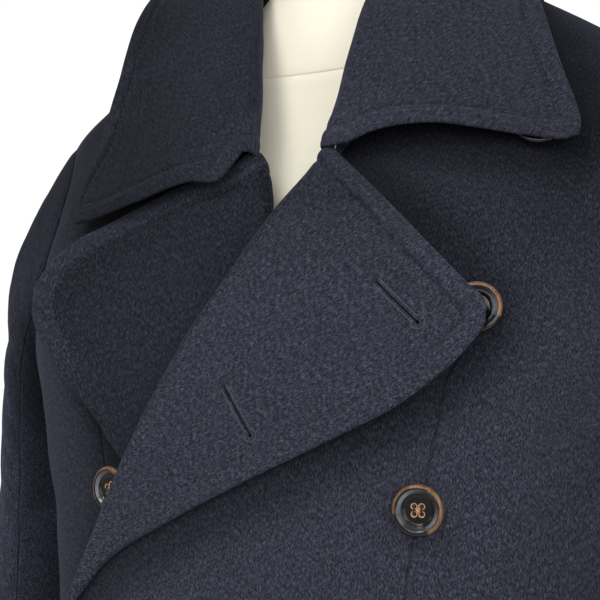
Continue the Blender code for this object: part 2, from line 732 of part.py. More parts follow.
def collar_grids():
    """Neck seam, its normals, fold line and lying leaf from the left gorge to the right gorge."""
    left = collar_side(
        LEFT_EDGE, LEFT_COLLAR_FOLD, LEFT_COLLAR_FRONT, LEFT_COLLAR_EDGE, right=False
    )
    right = collar_side(
        RIGHT_EDGE, RIGHT_COLLAR_FOLD, RIGHT_COLLAR_FRONT, RIGHT_COLLAR_EDGE, right=True
    )
    return [np.concatenate([a, b[-2::-1] * (-1, 1, 1)]) for a, b in zip(left, right)]


def collar_pieces():
    seam, normal, fold, lying = collar_grids()
    across = np.linspace(0, 1, COLLAR_COLUMNS + 1)
    outward = fold * (1, 1, 0) + (0, 0, COLLAR_UPWARD)
    spread, away = fold_frame(fold, lying[:, -1] - fold, outward)
    top = fold + FOLD_RADIUS * away
    fall = (1 - step(0, 1, across))[None, :, None]
    leaf = lying + fall * (top - lying[:, 0])[:, None, :]
    inner = np.concatenate([fold_section(fold, spread, away, FOLD_RADIUS), leaf], axis=1)
    wall("collar_leaf", inner, inner + LAPEL_CLOTH * grid_normals(inner))
    head = fold - (FOLD_RADIUS + CLOTH) * away + SEAM_GAP * spread
    up = unit(head - seam - np.sum((head - seam) * normal, axis=-1, keepdims=True) * normal)
    foot = seam + 2 * SEAM_GAP * up
    rise = np.linspace(0, 1, STAND_COLUMNS + 1)[None, :, None]
    inner = foot[:, None, :] + (head - foot)[:, None, :] * rise
    thick = unit(normal[:, None, :] * (1 - rise) + away[:, None, :] * rise)
    wall("collar_stand", inner, inner + CLOTH * thick)


def sleeve_grid(turn, share):
    """Grid on the left sleeve's outer side; turn as in the armhole, share along the sleeve."""
    outer_x, outer_z, inner_x, inner_z, middle_y, depth = read(SLEEVE_RINGS, share)
    outer = np.stack([outer_x, middle_y, outer_z], axis=-1)
    inner = np.stack([inner_x, middle_y, inner_z], axis=-1)
    sine = np.sin(turn)[None, :, None]
    cosine = np.cos(turn)[None, :, None]
    middle = (outer + inner)[:, None, :] / 2
    along_y = np.array([0.0, 1.0, 0.0])
    rings = middle + (outer - inner)[:, None, :] / 2 * sine + depth[:, None, None] * along_y * cosine
    hole_angle, hole_height = armhole(turn)
    start = body(hole_angle, hole_height, CLOTH + 2 * SEAM_GAP)
    hold = 1 - step(0, SLEEVE_HEAD_SHARE, share)
    return rings + hold[:, None, None] * (start - rings[0])[None]


def sleeve_normals(turn, share):
    round_hole = sleeve_grid(turn + SMALL_TURN, share) - sleeve_grid(turn - SMALL_TURN, share)
    along = np.gradient(sleeve_grid(turn, share), axis=0)
    return unit(np.cross(round_hole, along))


def sleeve_pieces(side, right):
    share = np.linspace(0, 1, SLEEVE_ROWS + 1) ** 1.25
    gap = math.degrees(SEAM_GAP / 2 / ARMHOLE_HALF_DEPTH)
    for piece, turns in (("top", TOP_SLEEVE_TURNS), ("under", UNDER_SLEEVE_TURNS)):
        turns = np.array(turns, float)
        turns[0] += gap
        turns[-1] -= gap
        outer = sleeve_grid(np.radians(turns), share)
        inner = outer - CLOTH * sleeve_normals(np.radians(turns), share)
        mirror = (-1, 1, 1) if right else (1, 1, 1)
        wall("sleeve_%s_%s" % (piece, side), inner * mirror, outer * mirror)


# ---------------------------------------------------------------- buttons
def button_mesh():
    """Four-hole button, its underside at its origin, facing +Z."""
    rings = turned(BUTTON_PROFILE[1:-1], ROUND_SEGMENTS)
    blank = ring_solid("button_blank", rings, "horn")
    cutters = []
    for k in range(4):
        turn = math.pi / 4 + k * math.pi / 2
        profile = ((BUTTON_HOLE_RADIUS, -0.002), (BUTTON_HOLE_RADIUS, 0.006))
        hole = ring_solid("hole_%d" % k, turned(profile, 10), "horn")
        across = BUTTON_HOLE_OFFSET * math.sqrt(2)
        hole.location = (across * math.cos(turn), across * math.sin(turn) + WHOLE_SHIFT_Y, 0)
        cut = blank.modifiers.new("hole", "BOOLEAN")
        cut.operation = "DIFFERENCE"
        cut.solver = "EXACT"
        cut.object = hole
        cutters.append(hole)
    bpy.context.view_layer.update()
    shape = bpy.data.meshes.new_from_object(blank.evaluated_get(bpy.context.evaluated_depsgraph_get()))
    for spare in [blank, *cutters]:
        bpy.data.objects.remove(spare, do_unlink=True)
    shape.name = "button"
    return shape


def set_on_coat(made, x, height, lift):
    """Stands an object on the coat's outer side with its own +Z along the cloth's outward normal."""
    angle = front_angle(np.array([x]), np.array([height]))
    normal = body_normal(angle, np.array([height]))[0]
    place = body(angle, np.array([height]), np.array([lift]))[0]
    level = unit(np.cross((0.0, 0.0, 1.0), normal))
    upward = np.cross(normal, level)
    matrix = np.eye(4)
    matrix[:3, 0] = level
    matrix[:3, 1] = upward
    matrix[:3, 2] = normal
    matrix[:3, 3] = place + (0, WHOLE_SHIFT_Y, 0)
    made.matrix_world = matrix.T.tolist()


def buttons():
    shape = button_mesh()
    shank_rings = turned(((SHANK_RADIUS, 0.0), (SHANK_RADIUS, SHANK_HEIGHT)), 12)
    for row, left_x, height, right_x in BUTTON_ROWS:
        for side, x in (("left", left_x), ("right", right_x)):
            if x is None:
                continue
            over_left = side == "left" or height < LEFT_BREAK_HEIGHT
            lift = CLOTH + (float(overlap(x, height)) if over_left else 0.0) + SHANK_GAP
            made = bpy.data.objects.new("button_%s_%d" % (side, row), shape)
            bpy.context.scene.collection.objects.link(made)
            set_on_coat(made, x, height, lift + SHANK_HEIGHT + SEAM_GAP)
            shank = ring_solid("thread_%s_%d" % (side, row), shank_rings, "thread")
            set_on_coat(shank, x, height, lift)


# ---------------------------------------------------------------- dress form and stand
def form_ring(height, segments):
    angle = np.arange(segments) * 2 * math.pi / segments
    x, y = ring_point(FORM_RINGS, angle, np.full(segments, height))
    return np.stack([x, y, np.full(segments, height)], axis=-1)


def dress_form():
    low = FORM_RINGS[0][0]
    high = FORM_RINGS[-1][0]
    heights = low + (high - low) * np.linspace(0, 1, FORM_ROWS + 1) ** 0.8
    ring_solid("form_torso", [form_ring(h, FORM_SEGMENTS) for h in heights], "linen")
    rings = []
    for turn in np.linspace(0, 80, 6):
        scale = math.cos(math.radians(turn))
        rise = CAP_HEIGHT * math.sin(math.radians(turn))
        rings.append(form_ring(high, FORM_SEGMENTS) * (scale, scale, 1) + (0, 0, rise + SEAM_GAP))
    ring_solid("form_cap", rings, "wood")


def stand():
    bevel = BASE_BEVEL
    profile = [(BASE_RADIUS, 0.0), (BASE_RADIUS, BASE_HEIGHT - bevel)]
    for turn in (30, 60, 90):
        sine = math.sin(math.radians(turn))
        cosine = math.cos(math.radians(turn))
        profile.append((BASE_RADIUS - bevel + bevel * cosine, BASE_HEIGHT - bevel + bevel * sine))
    ring_solid("stand_base", turned(profile, 48), "metal")
    pole = ((POLE_RADIUS, BASE_HEIGHT + SEAM_GAP), (POLE_RADIUS, FORM_RINGS[0][0] - SEAM_GAP))
    ring_solid("stand_pole", turned(pole, ROUND_SEGMENTS), "metal")


def main():
    for spare in list(bpy.data.objects):
        bpy.data.objects.remove(spare, do_unlink=True)
    front_piece("front_left", LEFT_EDGE, right=False)
    front_piece("front_right", RIGHT_EDGE, right=True)
    lapel_piece("lapel_left", LEFT_EDGE, LEFT_LAPEL_EDGE, LEFT_LAPEL_TOP, right=False)
    lapel_piece("lapel_right", RIGHT_EDGE, RIGHT_LAPEL_EDGE, RIGHT_LAPEL_TOP, right=True)
    collar_pieces()
    back_piece("back_left", right=False)
    back_piece("back_right", right=True)
    sleeve_pieces("left", right=False)
    sleeve_pieces("right", right=True)
    buttons()
    dress_form()
    stand()


main()
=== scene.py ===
"""Looks of a double-breasted wool overcoat on a limbless dress form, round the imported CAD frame.

Metres, +Z up. The front faces -Y and the wearer's left is +X, as in the frame. Every cloth piece is
a thin shell with rounded edges, built from the CAD's tables. A few rows of those tables are changed
here for looks: the rings at the waist, the ends of the collar and the top of the right lapel.
"""
import math

import bpy
import numpy as np
from mathutils import Matrix, Vector
from mathutils.bvhtree import BVHTree
from mathutils.kdtree import KDTree


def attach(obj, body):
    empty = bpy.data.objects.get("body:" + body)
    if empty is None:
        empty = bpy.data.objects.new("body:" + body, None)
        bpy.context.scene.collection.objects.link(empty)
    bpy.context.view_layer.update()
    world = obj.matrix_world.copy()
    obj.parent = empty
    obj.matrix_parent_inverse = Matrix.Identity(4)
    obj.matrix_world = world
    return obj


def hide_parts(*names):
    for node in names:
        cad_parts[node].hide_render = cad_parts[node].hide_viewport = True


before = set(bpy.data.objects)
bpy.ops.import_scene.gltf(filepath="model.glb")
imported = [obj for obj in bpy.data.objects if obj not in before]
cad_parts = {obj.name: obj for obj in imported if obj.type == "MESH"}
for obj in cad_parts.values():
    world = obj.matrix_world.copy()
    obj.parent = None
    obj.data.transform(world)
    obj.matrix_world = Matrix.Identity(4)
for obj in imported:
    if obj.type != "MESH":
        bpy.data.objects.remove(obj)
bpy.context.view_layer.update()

# ---------------------------------------------------------------- cloth sizes
CLOTH = 0.0025
LAPEL_CLOTH = 0.0035
SEAM_GAP = 0.0003
HEM_HEIGHT = 0.420
UNDERARM_HEIGHT = 1.234
SHOULDER_HEIGHT = 1.434
ARMHOLE_HALF_DEPTH = 0.083

# The coat's inner surface, as level rings from the hem to the neck.
# The rings from 1.010 to 1.110 round off the waist, where the CAD has a single ring.
# height, half_width, front_depth, back_depth, power of the rounded ring
BODY_RINGS = (
    (0.420, 0.298, 0.206, 0.214, 2.10),
    (0.560, 0.282, 0.197, 0.203, 2.10),
    (0.700, 0.264, 0.187, 0.190, 2.12),
    (0.900, 0.236, 0.171, 0.166, 2.22),
    (1.010, 0.2198, 0.1613, 0.1512, 2.36),
    (1.030, 0.2173, 0.1596, 0.1487, 2.40),
    (1.050, 0.2157, 0.1580, 0.1465, 2.44),
    (1.070, 0.2148, 0.1566, 0.1448, 2.49),
    (1.090, 0.2149, 0.1553, 0.1435, 2.54),
    (1.110, 0.2158, 0.1541, 0.1426, 2.59),
    (1.130, 0.2175, 0.153, 0.142, 2.65),
    (1.180, 0.2245, 0.151, 0.143, 2.75),
    (1.230, 0.2320, 0.147, 0.147, 2.90),
    (1.265, 0.2410, 0.143, 0.149, 2.95),
    (1.310, 0.244, 0.136, 0.150, 2.80),
    (1.350, 0.245, 0.124, 0.148, 2.60),
    (1.400, 0.244, 0.103, 0.138, 2.35),
    (1.434, 0.234, 0.086, 0.122, 2.20),
    (1.455, 0.210, 0.076, 0.109, 2.12),
    (1.475, 0.182, 0.069, 0.098, 2.06),
    (1.503, 0.137, 0.062, 0.086, 2.02),
    (1.522, 0.105, 0.058, 0.079, 2.00),
    (1.535, 0.081, 0.055, 0.072, 2.00),
    (1.560, 0.066, 0.050, 0.066, 2.00),
)

# Soft flutes that open towards the hem: waves round the ring, phase in degrees, share of the flute.
FLUTES = ((5, 20.0, 0.55), (8, 75.0, 0.30), (3, 140.0, 0.35))
FLUTE_DEPTH = 0.009
FLUTE_TOP = 1.05

# Inner edges of the two fronts. x is measured towards the front's own side, so it is negative
# where the front passes the centre. share runs from the hem to the side of the neck.
# share, x, height
LEFT_EDGE = (
    (0.000, -0.136, 0.420),
    (0.220, -0.138, 0.700),
    (0.400, -0.140, 0.940),
    (0.500, -0.141, 1.058),
    (0.530, -0.134, 1.082),
    (0.560, -0.119, 1.102),
    (0.600, -0.099, 1.138),
    (0.645, -0.076, 1.182),
    (0.700, -0.046, 1.236),
    (0.740, -0.023, 1.273),
    (0.775, -0.001, 1.302),
    (0.810, 0.020, 1.331),
    (0.840, 0.033, 1.350),
    (0.870, 0.042, 1.368),
    (0.900, 0.0455, 1.381),
    (0.912, 0.0510, 1.390),
    (0.930, 0.0550, 1.416),
    (0.950, 0.0595, 1.450),
    (0.970, 0.0660, 1.487),
    (0.988, 0.0750, 1.518),
    (1.000, 0.0820, 1.5345),
)
RIGHT_EDGE = (
    (0.000, -0.136, 0.420),
    (0.220, -0.137, 0.700),
    (0.400, -0.139, 0.940),
    (0.500, -0.138, 1.045),
    (0.530, -0.134, 1.072),
    (0.600, -0.110, 1.125),
    (0.670, -0.078, 1.190),
    (0.735, -0.048, 1.250),
    (0.795, -0.021, 1.305),
    (0.840, -0.001, 1.340),
    (0.865, 0.0045, 1.359),
    (0.883, 0.0110, 1.373),
    (0.900, 0.0185, 1.3845),
    (0.912, 0.0275, 1.396),
    (0.930, 0.0370, 1.423),
    (0.950, 0.0480, 1.455),
    (0.970, 0.0600, 1.489),
    (0.988, 0.0735, 1.518),
    (1.000, 0.0820, 1.5345),
)
BREAK_SHARE = 0.530
LEFT_BREAK_HEIGHT = 1.082
GORGE_SHARE = 0.900

# Outer side of a front: the side seam up to the underarm, then the armhole.
# share, height
SIDE_SEAM = ((0.000, 0.420), (0.220, 0.700), (0.400, 0.930), (0.530, 1.090), (0.640, 1.234))
UNDERARM_SHARE = 0.640

# The back: share of the rows, height of the centre seam.
CENTRE_BACK = ((0.000, 0.420), (0.550, 1.060), (0.800, 1.340), (1.000, 1.5165))
NECK_SIDE_HEIGHT = 1.5345
NECK_SHARE = 0.30

# Turned-back lapels. share runs from the break to the gorge; x is towards the front's own side.
# share, x, height
LEFT_LAPEL_EDGE = (
    (0.00, -0.126, 1.086),
    (0.06, -0.111, 1.108),
    (0.14, -0.086, 1.131),
    (0.24, -0.045, 1.155),
    (0.35, -0.003, 1.176),
    (0.47, 0.045, 1.1985),
    (0.58, 0.077, 1.214),
    (0.69, 0.103, 1.228),
    (0.79, 0.1265, 1.247),
    (0.87, 0.139, 1.260),
    (0.93, 0.1455, 1.269),
    (1.00, 0.1470, 1.279),
)
RIGHT_LAPEL_EDGE = (
    (0.00, -0.131, 1.070),
    (0.12, -0.098, 1.090),
    (0.22, -0.058, 1.110),
    (0.32, -0.010, 1.130),
    (0.42, 0.035, 1.150),
    (0.52, 0.072, 1.170),
    (0.62, 0.098, 1.195),
    (0.72, 0.113, 1.220),
    (0.82, 0.131, 1.247),
    (0.91, 0.146, 1.272),
    (0.97, 0.1515, 1.288),
    (1.00, 0.1520, 1.297),
)
# Top edges of the lapels, from the gorge to the peak. share, x, height
LEFT_LAPEL_TOP = (
    (0.00, 0.0455, 1.380),
    (0.12, 0.0580, 1.3680),
    (0.33, 0.0819, 1.3462),
    (0.66, 0.1155, 1.3139),
    (0.88, 0.1380, 1.2916),
    (0.97, 0.1455, 1.2835),
    (1.00, 0.1470, 1.279),
)
RIGHT_LAPEL_TOP = (
    (0.00, 0.0185, 1.3845),
    (0.07, 0.0270, 1.3775),
    (0.23, 0.0500, 1.3715),
    (0.55, 0.0940, 1.3560),
    (0.75, 0.1200, 1.3410),
    (0.88, 0.1370, 1.3275),
    (0.97, 0.1495, 1.3080),
    (1.00, 0.1520, 1.297),
)
FOLD_SEGMENTS = 14
FOLD_RADIUS = 0.004
PRESSED_RADIUS = 0.0015
LAPEL_REST = 0.0012
COLLAR_REST = 0.0010
COLLAR_UPWARD = 0.06

# How far the lapels' points stand off. The right one lifts beyond the left lapel's roll.
LEFT_LAPEL_STAND = 0.0095
RIGHT_LAPEL_STAND = 0.034
RIGHT_STAND_START = 0.012
RIGHT_STAND_WIDTH = 0.120
RIGHT_STAND_POWER = 4

# How far the left front stands out over what lies under it: the right front, and the right lapel.
OVERLAP_LIFT = 0.0050
LAPEL_LIFT = 0.0150
OVERLAP_END = (0.140, 0.207)
OVERLAP_TOP = (1.440, 1.380)
LAPEL_LIFT_START = (1.020, 1.070)
LAPEL_LIFT_TOP = (1.385, 1.335)

# The collar, from the left gorge round the back of the neck to the right gorge. Every table is for
# one side, with its share running from the gorge to the centre back.
NECK_SIDE_SHARE = 0.72
# Fold line: share, x, y, height. Its part behind the neck is the same on both sides.
COLLAR_FOLD_BEHIND = (
    (0.72, 0.069, -0.008, 1.562),
    (0.86, 0.055, 0.050, 1.570),
    (0.94, 0.026, 0.078, 1.569),
    (1.00, 0.000, 0.083, 1.568),
)
LEFT_COLLAR_FOLD = (
    (0.00, 0.0440, -0.1262, 1.3850),
    (0.16, 0.0500, -0.115, 1.415),
    (0.32, 0.051, -0.098, 1.450),
    (0.48, 0.053, -0.075, 1.492),
    (0.60, 0.061, -0.050, 1.532),
) + COLLAR_FOLD_BEHIND
RIGHT_COLLAR_FOLD = (
    (0.00, 0.0165, -0.1262, 1.3870),
    (0.16, 0.0200, -0.115, 1.419),
    (0.32, 0.0290, -0.098, 1.451),
    (0.48, 0.0410, -0.076, 1.491),
    (0.60, 0.0550, -0.051, 1.531),
) + COLLAR_FOLD_BEHIND
# Front edge of the leaf, from the fold to the point: share, x, height, stand over the coat
LEFT_COLLAR_FRONT = (
    (0.00, 0.0440, 1.3785, 0.0050),
    (0.10, 0.0580, 1.3798, 0.0062),
    (0.18, 0.0700, 1.3848, 0.0072),
    (0.40, 0.1042, 1.3890, 0.0090),
    (0.62, 0.1337, 1.3850, 0.0100),
    (0.83, 0.1609, 1.3803, 0.0105),
    (0.96, 0.1800, 1.3785, 0.0110),
    (1.00, 0.1855, 1.3810, 0.0110),
)
RIGHT_COLLAR_FRONT = (
    (0.00, 0.0165, 1.3830, 0.0060),
    (0.08, 0.0260, 1.3655, 0.0080),
    (0.22, 0.0490, 1.3632, 0.0110),
    (0.52, 0.0901, 1.3525, 0.0150),
    (0.84, 0.1343, 1.3425, 0.0185),
    (0.95, 0.1470, 1.3430, 0.0185),
    (1.00, 0.1530, 1.3485, 0.0180),
)
COLLAR_FRONT_HOLD = 0.26
# Outer edge of the leaf: share, x and y of the place under it seen from above, stand over the coat
LEFT_COLLAR_EDGE = (
    (0.00, 0.1855, -0.0850, 0.0110),
    (0.05, 0.1862, -0.0820, 0.0105),
    (0.14, 0.1838, -0.0771, 0.0100),
    (0.28, 0.1715, -0.0645, 0.0090),
    (0.42, 0.1592, -0.0478, 0.0085),
    (0.52, 0.1478, -0.0321, 0.0085),
    (0.62, 0.1400, -0.0100, 0.0085),
    (0.72, 0.1340, 0.0200, 0.0085),
    (0.86, 0.0960, 0.0780, 0.0085),
    (0.94, 0.0440, 0.1030, 0.0085),
    (1.00, 0.0000, 0.1070, 0.0085),
)
RIGHT_COLLAR_EDGE = (
    (0.00, 0.1540, -0.1080, 0.0180),
    (0.05, 0.1570, -0.1035, 0.0155),
    (0.12, 0.1560, -0.0960, 0.0130),
    (0.20, 0.1500, -0.0890, 0.0135),
    (0.32, 0.1440, -0.0740, 0.0200),
    (0.43, 0.1379, -0.0547, 0.0290),
    (0.52, 0.1320, -0.0400, 0.0350),
    (0.61, 0.1220, -0.0240, 0.0400),
    (0.72, 0.1130, 0.0080, 0.0370),
    (0.86, 0.0860, 0.0740, 0.0200),
    (0.94, 0.0440, 0.1010, 0.0120),
    (1.00, 0.0000, 0.1070, 0.0085),
)
EDGE_STAND_GROWTH = 1.4

# Sleeves: share along the sleeve, outer x, outer height, inner x, inner height, y of the middle,
# half depth. The first row lies in the armhole.
SLEEVE_RINGS = (
    (0.000, 0.2390, 1.4340, 0.2360, 1.2345, 0.000, 0.0825),
    (0.015, 0.2430, 1.4310, 0.2395, 1.2335, 0.000, 0.0826),
    (0.060, 0.2540, 1.4180, 0.2430, 1.2270, 0.001, 0.0826),
    (0.130, 0.2670, 1.3930, 0.2445, 1.2130, 0.003, 0.0822),
    (0.220, 0.2765, 1.3540, 0.2450, 1.1950, 0.005, 0.0816),
    (0.340, 0.2840, 1.2900, 0.2430, 1.1640, 0.005, 0.0805),
    (0.460, 0.2895, 1.2100, 0.2400, 1.1180, 0.004, 0.0790),
    (0.600, 0.2960, 1.1000, 0.2390, 1.0400, 0.000, 0.0765),
    (0.740, 0.3030, 0.9800, 0.2450, 0.9500, -0.008, 0.0735),
    (0.880, 0.3100, 0.8800, 0.2530, 0.8700, -0.018, 0.0700),
    (1.000, 0.3160, 0.8000, 0.2600, 0.8000, -0.027, 0.0670),
)
SLEEVE_HEAD_SHARE = 0.20
# Buttons: row, x of the left column, height; and x of the right column where one shows.
BUTTON_ROWS = (
    (1, 0.1637, 1.3909, None),
    (2, 0.1414, 1.2807, None),
    (3, 0.1111, 1.1717, -0.1028),
    (4, 0.1060, 1.0560, -0.1050),
    (5, 0.1030, 0.9400, -0.1050),
)
SHANK_HEIGHT = 0.0018
SHANK_GAP = 0.0008

# The dress form, as level rings. height, half_width, front_depth, back_depth, power
FORM_RINGS = (
    (0.800, 0.166, 0.110, 0.116, 2.20),
    (0.860, 0.175, 0.117, 0.125, 2.20),
    (0.960, 0.168, 0.112, 0.116, 2.20),
    (1.080, 0.148, 0.104, 0.098, 2.25),
    (1.180, 0.160, 0.113, 0.106, 2.30),
    (1.280, 0.176, 0.118, 0.122, 2.30),
    (1.340, 0.185, 0.107, 0.127, 2.30),
    (1.390, 0.188, 0.089, 0.117, 2.25),
    (1.425, 0.184, 0.073, 0.100, 2.15),
    (1.450, 0.166, 0.064, 0.087, 2.08),
    (1.475, 0.134, 0.058, 0.077, 2.02),
    (1.500, 0.100, 0.053, 0.068, 2.00),
    (1.520, 0.072, 0.050, 0.061, 2.00),
    (1.540, 0.055, 0.048, 0.056, 2.00),
    (1.575, 0.050, 0.047, 0.053, 2.00),
    (1.620, 0.049, 0.046, 0.052, 2.00),
)
# Everything is moved by this along y, as in the CAD, which centres the whole on the origin
WHOLE_SHIFT_Y = -0.00295

# Steps over which the surfaces' normals are measured, in radians and in metres
SMALL_TURN = 0.002
SMALL_RISE = 0.002

# ---------------------------------------------------------------- looks
# Height of the cloth's slight unevenness
RUMPLE = 0.00022
# Radius on which distances round the body are measured
MEAN_RADIUS = 0.215
# Share of a front's columns that lie before its dart, and the columns close round the dart
DART_COLUMN = 0.45
DART_CLUSTER = np.array([-5, -3.4, -2.2, -1.4, -0.9, -0.45, 0, 0.45, 0.9, 1.4, 2.2, 3.4, 5]) / 450
# Share of the fronts' edges at which the collar starts
COLLAR_START = 0.898
SLEEVE_LENGTH = 0.66
# Half widths of the stitched groove, on the fronts and on lapels and collar, and its distance
# from the edge
EDGE_LINE = 0.0011
LEAF_LINE = 0.0012
STITCH_INSET = 0.0130
# Radii that round the shells' borders: first column, last column, first row, last row
FRONT_ROUNDING = (0.0020, 0.0009, 0.0020, 0.0010)
BACK_ROUNDING = (0.0009, 0.0009, 0.0020, 0.0010)
LAPEL_ROUNDING = (0.0012, 0.0030, 0.0012, 0.0030)
COLLAR_ROUNDING = (0.0012, 0.0030, 0.0030, 0.0030)
STAND_ROUNDING = (0.0010, 0.0010, 0.0012, 0.0012)
SLEEVE_ROUNDING = (0.0009, 0.0009, 0.0009, 0.0020)

# In the pairs below the first value is for the wearer's left, the second for the right.
# Lightness of the cloth's pieces: painted light and shade, lighter where a piece faces the light, darker on
# the wearer's right that turns from it
BODY_TONE = (0.97, 0.54)
BACK_TONE = 0.82
LAPEL_TONE = (0.98, 0.55)
COLLAR_TONE = (1.62, 0.98)
SLEEVE_TONE = (0.94, 0.82)
# Painted shade on a sleeve: its lightness at its head, and its rise below
SLEEVE_HEAD_TONE = 0.78
SLEEVE_RISE = 0.62
# The lapels' stitched line: its distance from the edge, and how much paler the strip outside it is, a
# painted highlight on the puffed strip
LAPEL_INSET = (0.0130, 0.0175)
LAPEL_STRIP = (0.14, 0.72)
# The right half of the collar: painted light, paler by its fold, and painted shade, darker towards its
# outer edge
COLLAR_FOLD_GAIN = 0.16
COLLAR_EDGE_LOSS = 0.46
# Shade on the fronts close to the cloth that lies over them: full up to a distance, how fast it
# fades beyond, its share, and the height from which it is laid
COVER_NEAR = 0.010
COVER_REACH = 0.017
COVER_SHADE = 0.52
COVER_FROM = 1.02
# Painted shade: how much darker the cloth is where it leans back; and the lightness of the whole
LEAN_SHADE_PAINTED = 0.58
CLOTH_LIGHTNESS = 0.59
# Degrees that the nap is turned by
LAPEL_NAP = (-47, 8)
COLLAR_NAP = 40

# The fronts' dart, from the lapel down: x towards the front's own side, height
DART = (
    (0.1326, 1.2562),
    (0.1248, 1.2425),
    (0.1206, 1.2151),
    (0.1150, 1.1875),
    (0.1067, 1.1515),
    (0.1025, 1.1211),
    (0.0985, 1.0800),
    (0.0965, 1.0300),
)

# Buttonholes, from the bar to the eyelet: x towards the wearer's left, height
LAPEL_HOLES = (
    ((0.0870, 1.2961), (0.1148, 1.2701)),
    ((-0.0050, 1.2378), (0.0155, 1.2061)),
)
FRONT_HOLES = (
    ((-0.0960, 1.0560), (-0.1290, 1.0560)),
    ((-0.0960, 0.9400), (-0.1290, 0.9400)),
)

# Creases of the body: from and to, as distance round it (0 at the wearer's left side, negative
# towards the front) and height, half width, depth (negative is a trough)
BODY_CREASES = (
    (-0.060, 1.215, -0.190, 1.120, 0.016, -0.0022),
    (-0.035, 1.190, -0.120, 1.020, 0.020, -0.0026),
    (-0.080, 1.240, -0.230, 1.175, 0.012, -0.0012),
    (-0.615, 1.215, -0.490, 1.130, 0.016, -0.0022),
    (-0.640, 1.190, -0.560, 1.030, 0.020, -0.0026),
    (-0.100, 0.980, -0.130, 0.560, 0.030, -0.0040),
    (-0.215, 0.900, -0.235, 0.470, 0.034, -0.0034),
    (-0.030, 0.900, -0.020, 0.430, 0.036, 0.0034),
    (-0.520, 0.970, -0.500, 0.540, 0.030, -0.0040),
    (-0.420, 0.860, -0.405, 0.450, 0.034, -0.0032),
    (-0.610, 0.880, -0.640, 0.440, 0.036, 0.0034),
    (-0.330, 0.780, -0.338, 0.440, 0.026, -0.0022),
    (0.060, 1.210, 0.170, 1.110, 0.018, -0.0026),
    (0.045, 1.180, 0.115, 1.010, 0.022, -0.0030),
    (0.610, 1.205, 0.515, 1.120, 0.018, -0.0024),
    (0.630, 1.170, 0.570, 1.000, 0.022, -0.0028),
    (0.150, 1.390, 0.300, 1.350, 0.016, -0.0016),
    (0.520, 1.380, 0.390, 1.345, 0.016, -0.0014),
    (0.130, 0.960, 0.100, 0.480, 0.032, -0.0042),
    (0.240, 0.880, 0.230, 0.450, 0.034, 0.0034),
    (0.300, 1.040, 0.290, 0.600, 0.024, -0.0026),
    (0.420, 0.860, 0.440, 0.440, 0.034, 0.0032),
    (0.540, 0.950, 0.570, 0.500, 0.032, -0.0040),
    (0.220, 1.090, 0.330, 1.040, 0.015, -0.0016),
    (0.470, 1.085, 0.380, 1.030, 0.015, -0.0014),
)
# Creases of the sleeves: from and to, as degrees round the arm (90 outside, 180 in front) and
# metres down it, half width, depth
LEFT_SLEEVE_CREASES = (
    (200, 0.120, 120, 0.200, 0.014, -0.0026),
    (215, 0.190, 130, 0.250, 0.012, -0.0030),
    (250, 0.250, 170, 0.300, 0.013, -0.0034),
    (210, 0.320, 130, 0.290, 0.011, -0.0024),
    (230, 0.360, 160, 0.390, 0.014, -0.0030),
    (20, 0.100, 60, 0.220, 0.016, -0.0022),
    (10, 0.300, 75, 0.360, 0.015, -0.0026),
    (0, 0.420, 60, 0.400, 0.012, -0.0018),
    (150, 0.480, 110, 0.600, 0.020, -0.0020),
    (300, 0.150, 340, 0.330, 0.018, -0.0026),
    (270, 0.400, 330, 0.460, 0.014, -0.0024),
)
RIGHT_SLEEVE_CREASES = (
    (205, 0.105, 125, 0.215, 0.014, -0.0024),
    (225, 0.210, 150, 0.240, 0.011, -0.0026),
    (245, 0.265, 165, 0.325, 0.013, -0.0032),
    (205, 0.345, 140, 0.310, 0.012, -0.0022),
    (235, 0.385, 170, 0.400, 0.013, -0.0028),
    (25, 0.120, 65, 0.200, 0.015, -0.0020),
    (5, 0.290, 70, 0.375, 0.016, -0.0026),
    (15, 0.440, 65, 0.410, 0.012, -0.0018),
    (140, 0.500, 100, 0.590, 0.018, -0.0018),
    (295, 0.170, 335, 0.310, 0.018, -0.0026),
    (265, 0.420, 325, 0.450, 0.014, -0.0022),
)

# Turned profile of a button: radius, height over its underside
BUTTON_PROFILE = (
    (0.0000, 0.0000),
    (0.0106, 0.0000),
    (0.0138, 0.0010),
    (0.0145, 0.0024),
    (0.0142, 0.0037),
    (0.0134, 0.0044),
    (0.0123, 0.0046),
    (0.0113, 0.0043),
    (0.0104, 0.0035),
    (0.0098, 0.0028),
    (0.0094, 0.0032),
    (0.0090, 0.0027),
    (0.0086, 0.0030),
    (0.0081, 0.0023),
    (0.0076, 0.0020),
    (0.0060, 0.0019),
    (0.0000, 0.0019),
)
BUTTON_SEGMENTS = 96
PROFILE_STEP = 0.00042
# The flat middle of the button has more rings, for the holes
FACE_RADIUS = 0.0061
FACE_STEPS = 24
HOLE_OFFSET = 0.0021
HOLE_RADIUS = 0.0012
HOLE_DEPTH = 0.0016
# Degrees round the button between which the rind shows
RIND_START = -65
RIND_END = 190
# Radii from which the rind shows, before and past 60 degrees
RIND_RADII = (0.0121, 0.0127)
# Painted highlight: directions, half widths and shares of the two painted glint spots on the slope inside
# the rim
PAINTED_GLINTS = ((145, 50, 1.0), (-35, 35, 0.8))
# Degrees by which the buttons of each row are turned, and by which the right column differs
BUTTON_TURNS = (0, 40, 0, -35, 110)
RIGHT_BUTTON_TURN = 25
BUTTON_THREAD_RADIUS = 0.00024

# Buttonholes: half width of the cord line, radius of its eyelet, how far these end before the tip
CORD_HALF = 0.0021
EYELET_RADIUS = 0.0038
EYELET_BACK = 0.0030
CORD_BACK = 0.0052
CORD_RADIUS = 0.00026
# Stitched lines: stitch, gap, thread radius, how deep the stitch's ends sink in
STITCH = 0.0032
STITCH_GAP = 0.0014
STITCH_RADIUS = 0.00021
STITCH_SINK = 0.0004

# The dress form's seam between neck and body
FORM_SEAM_HEIGHT = 1.4545
FORM_SEGMENTS = 144

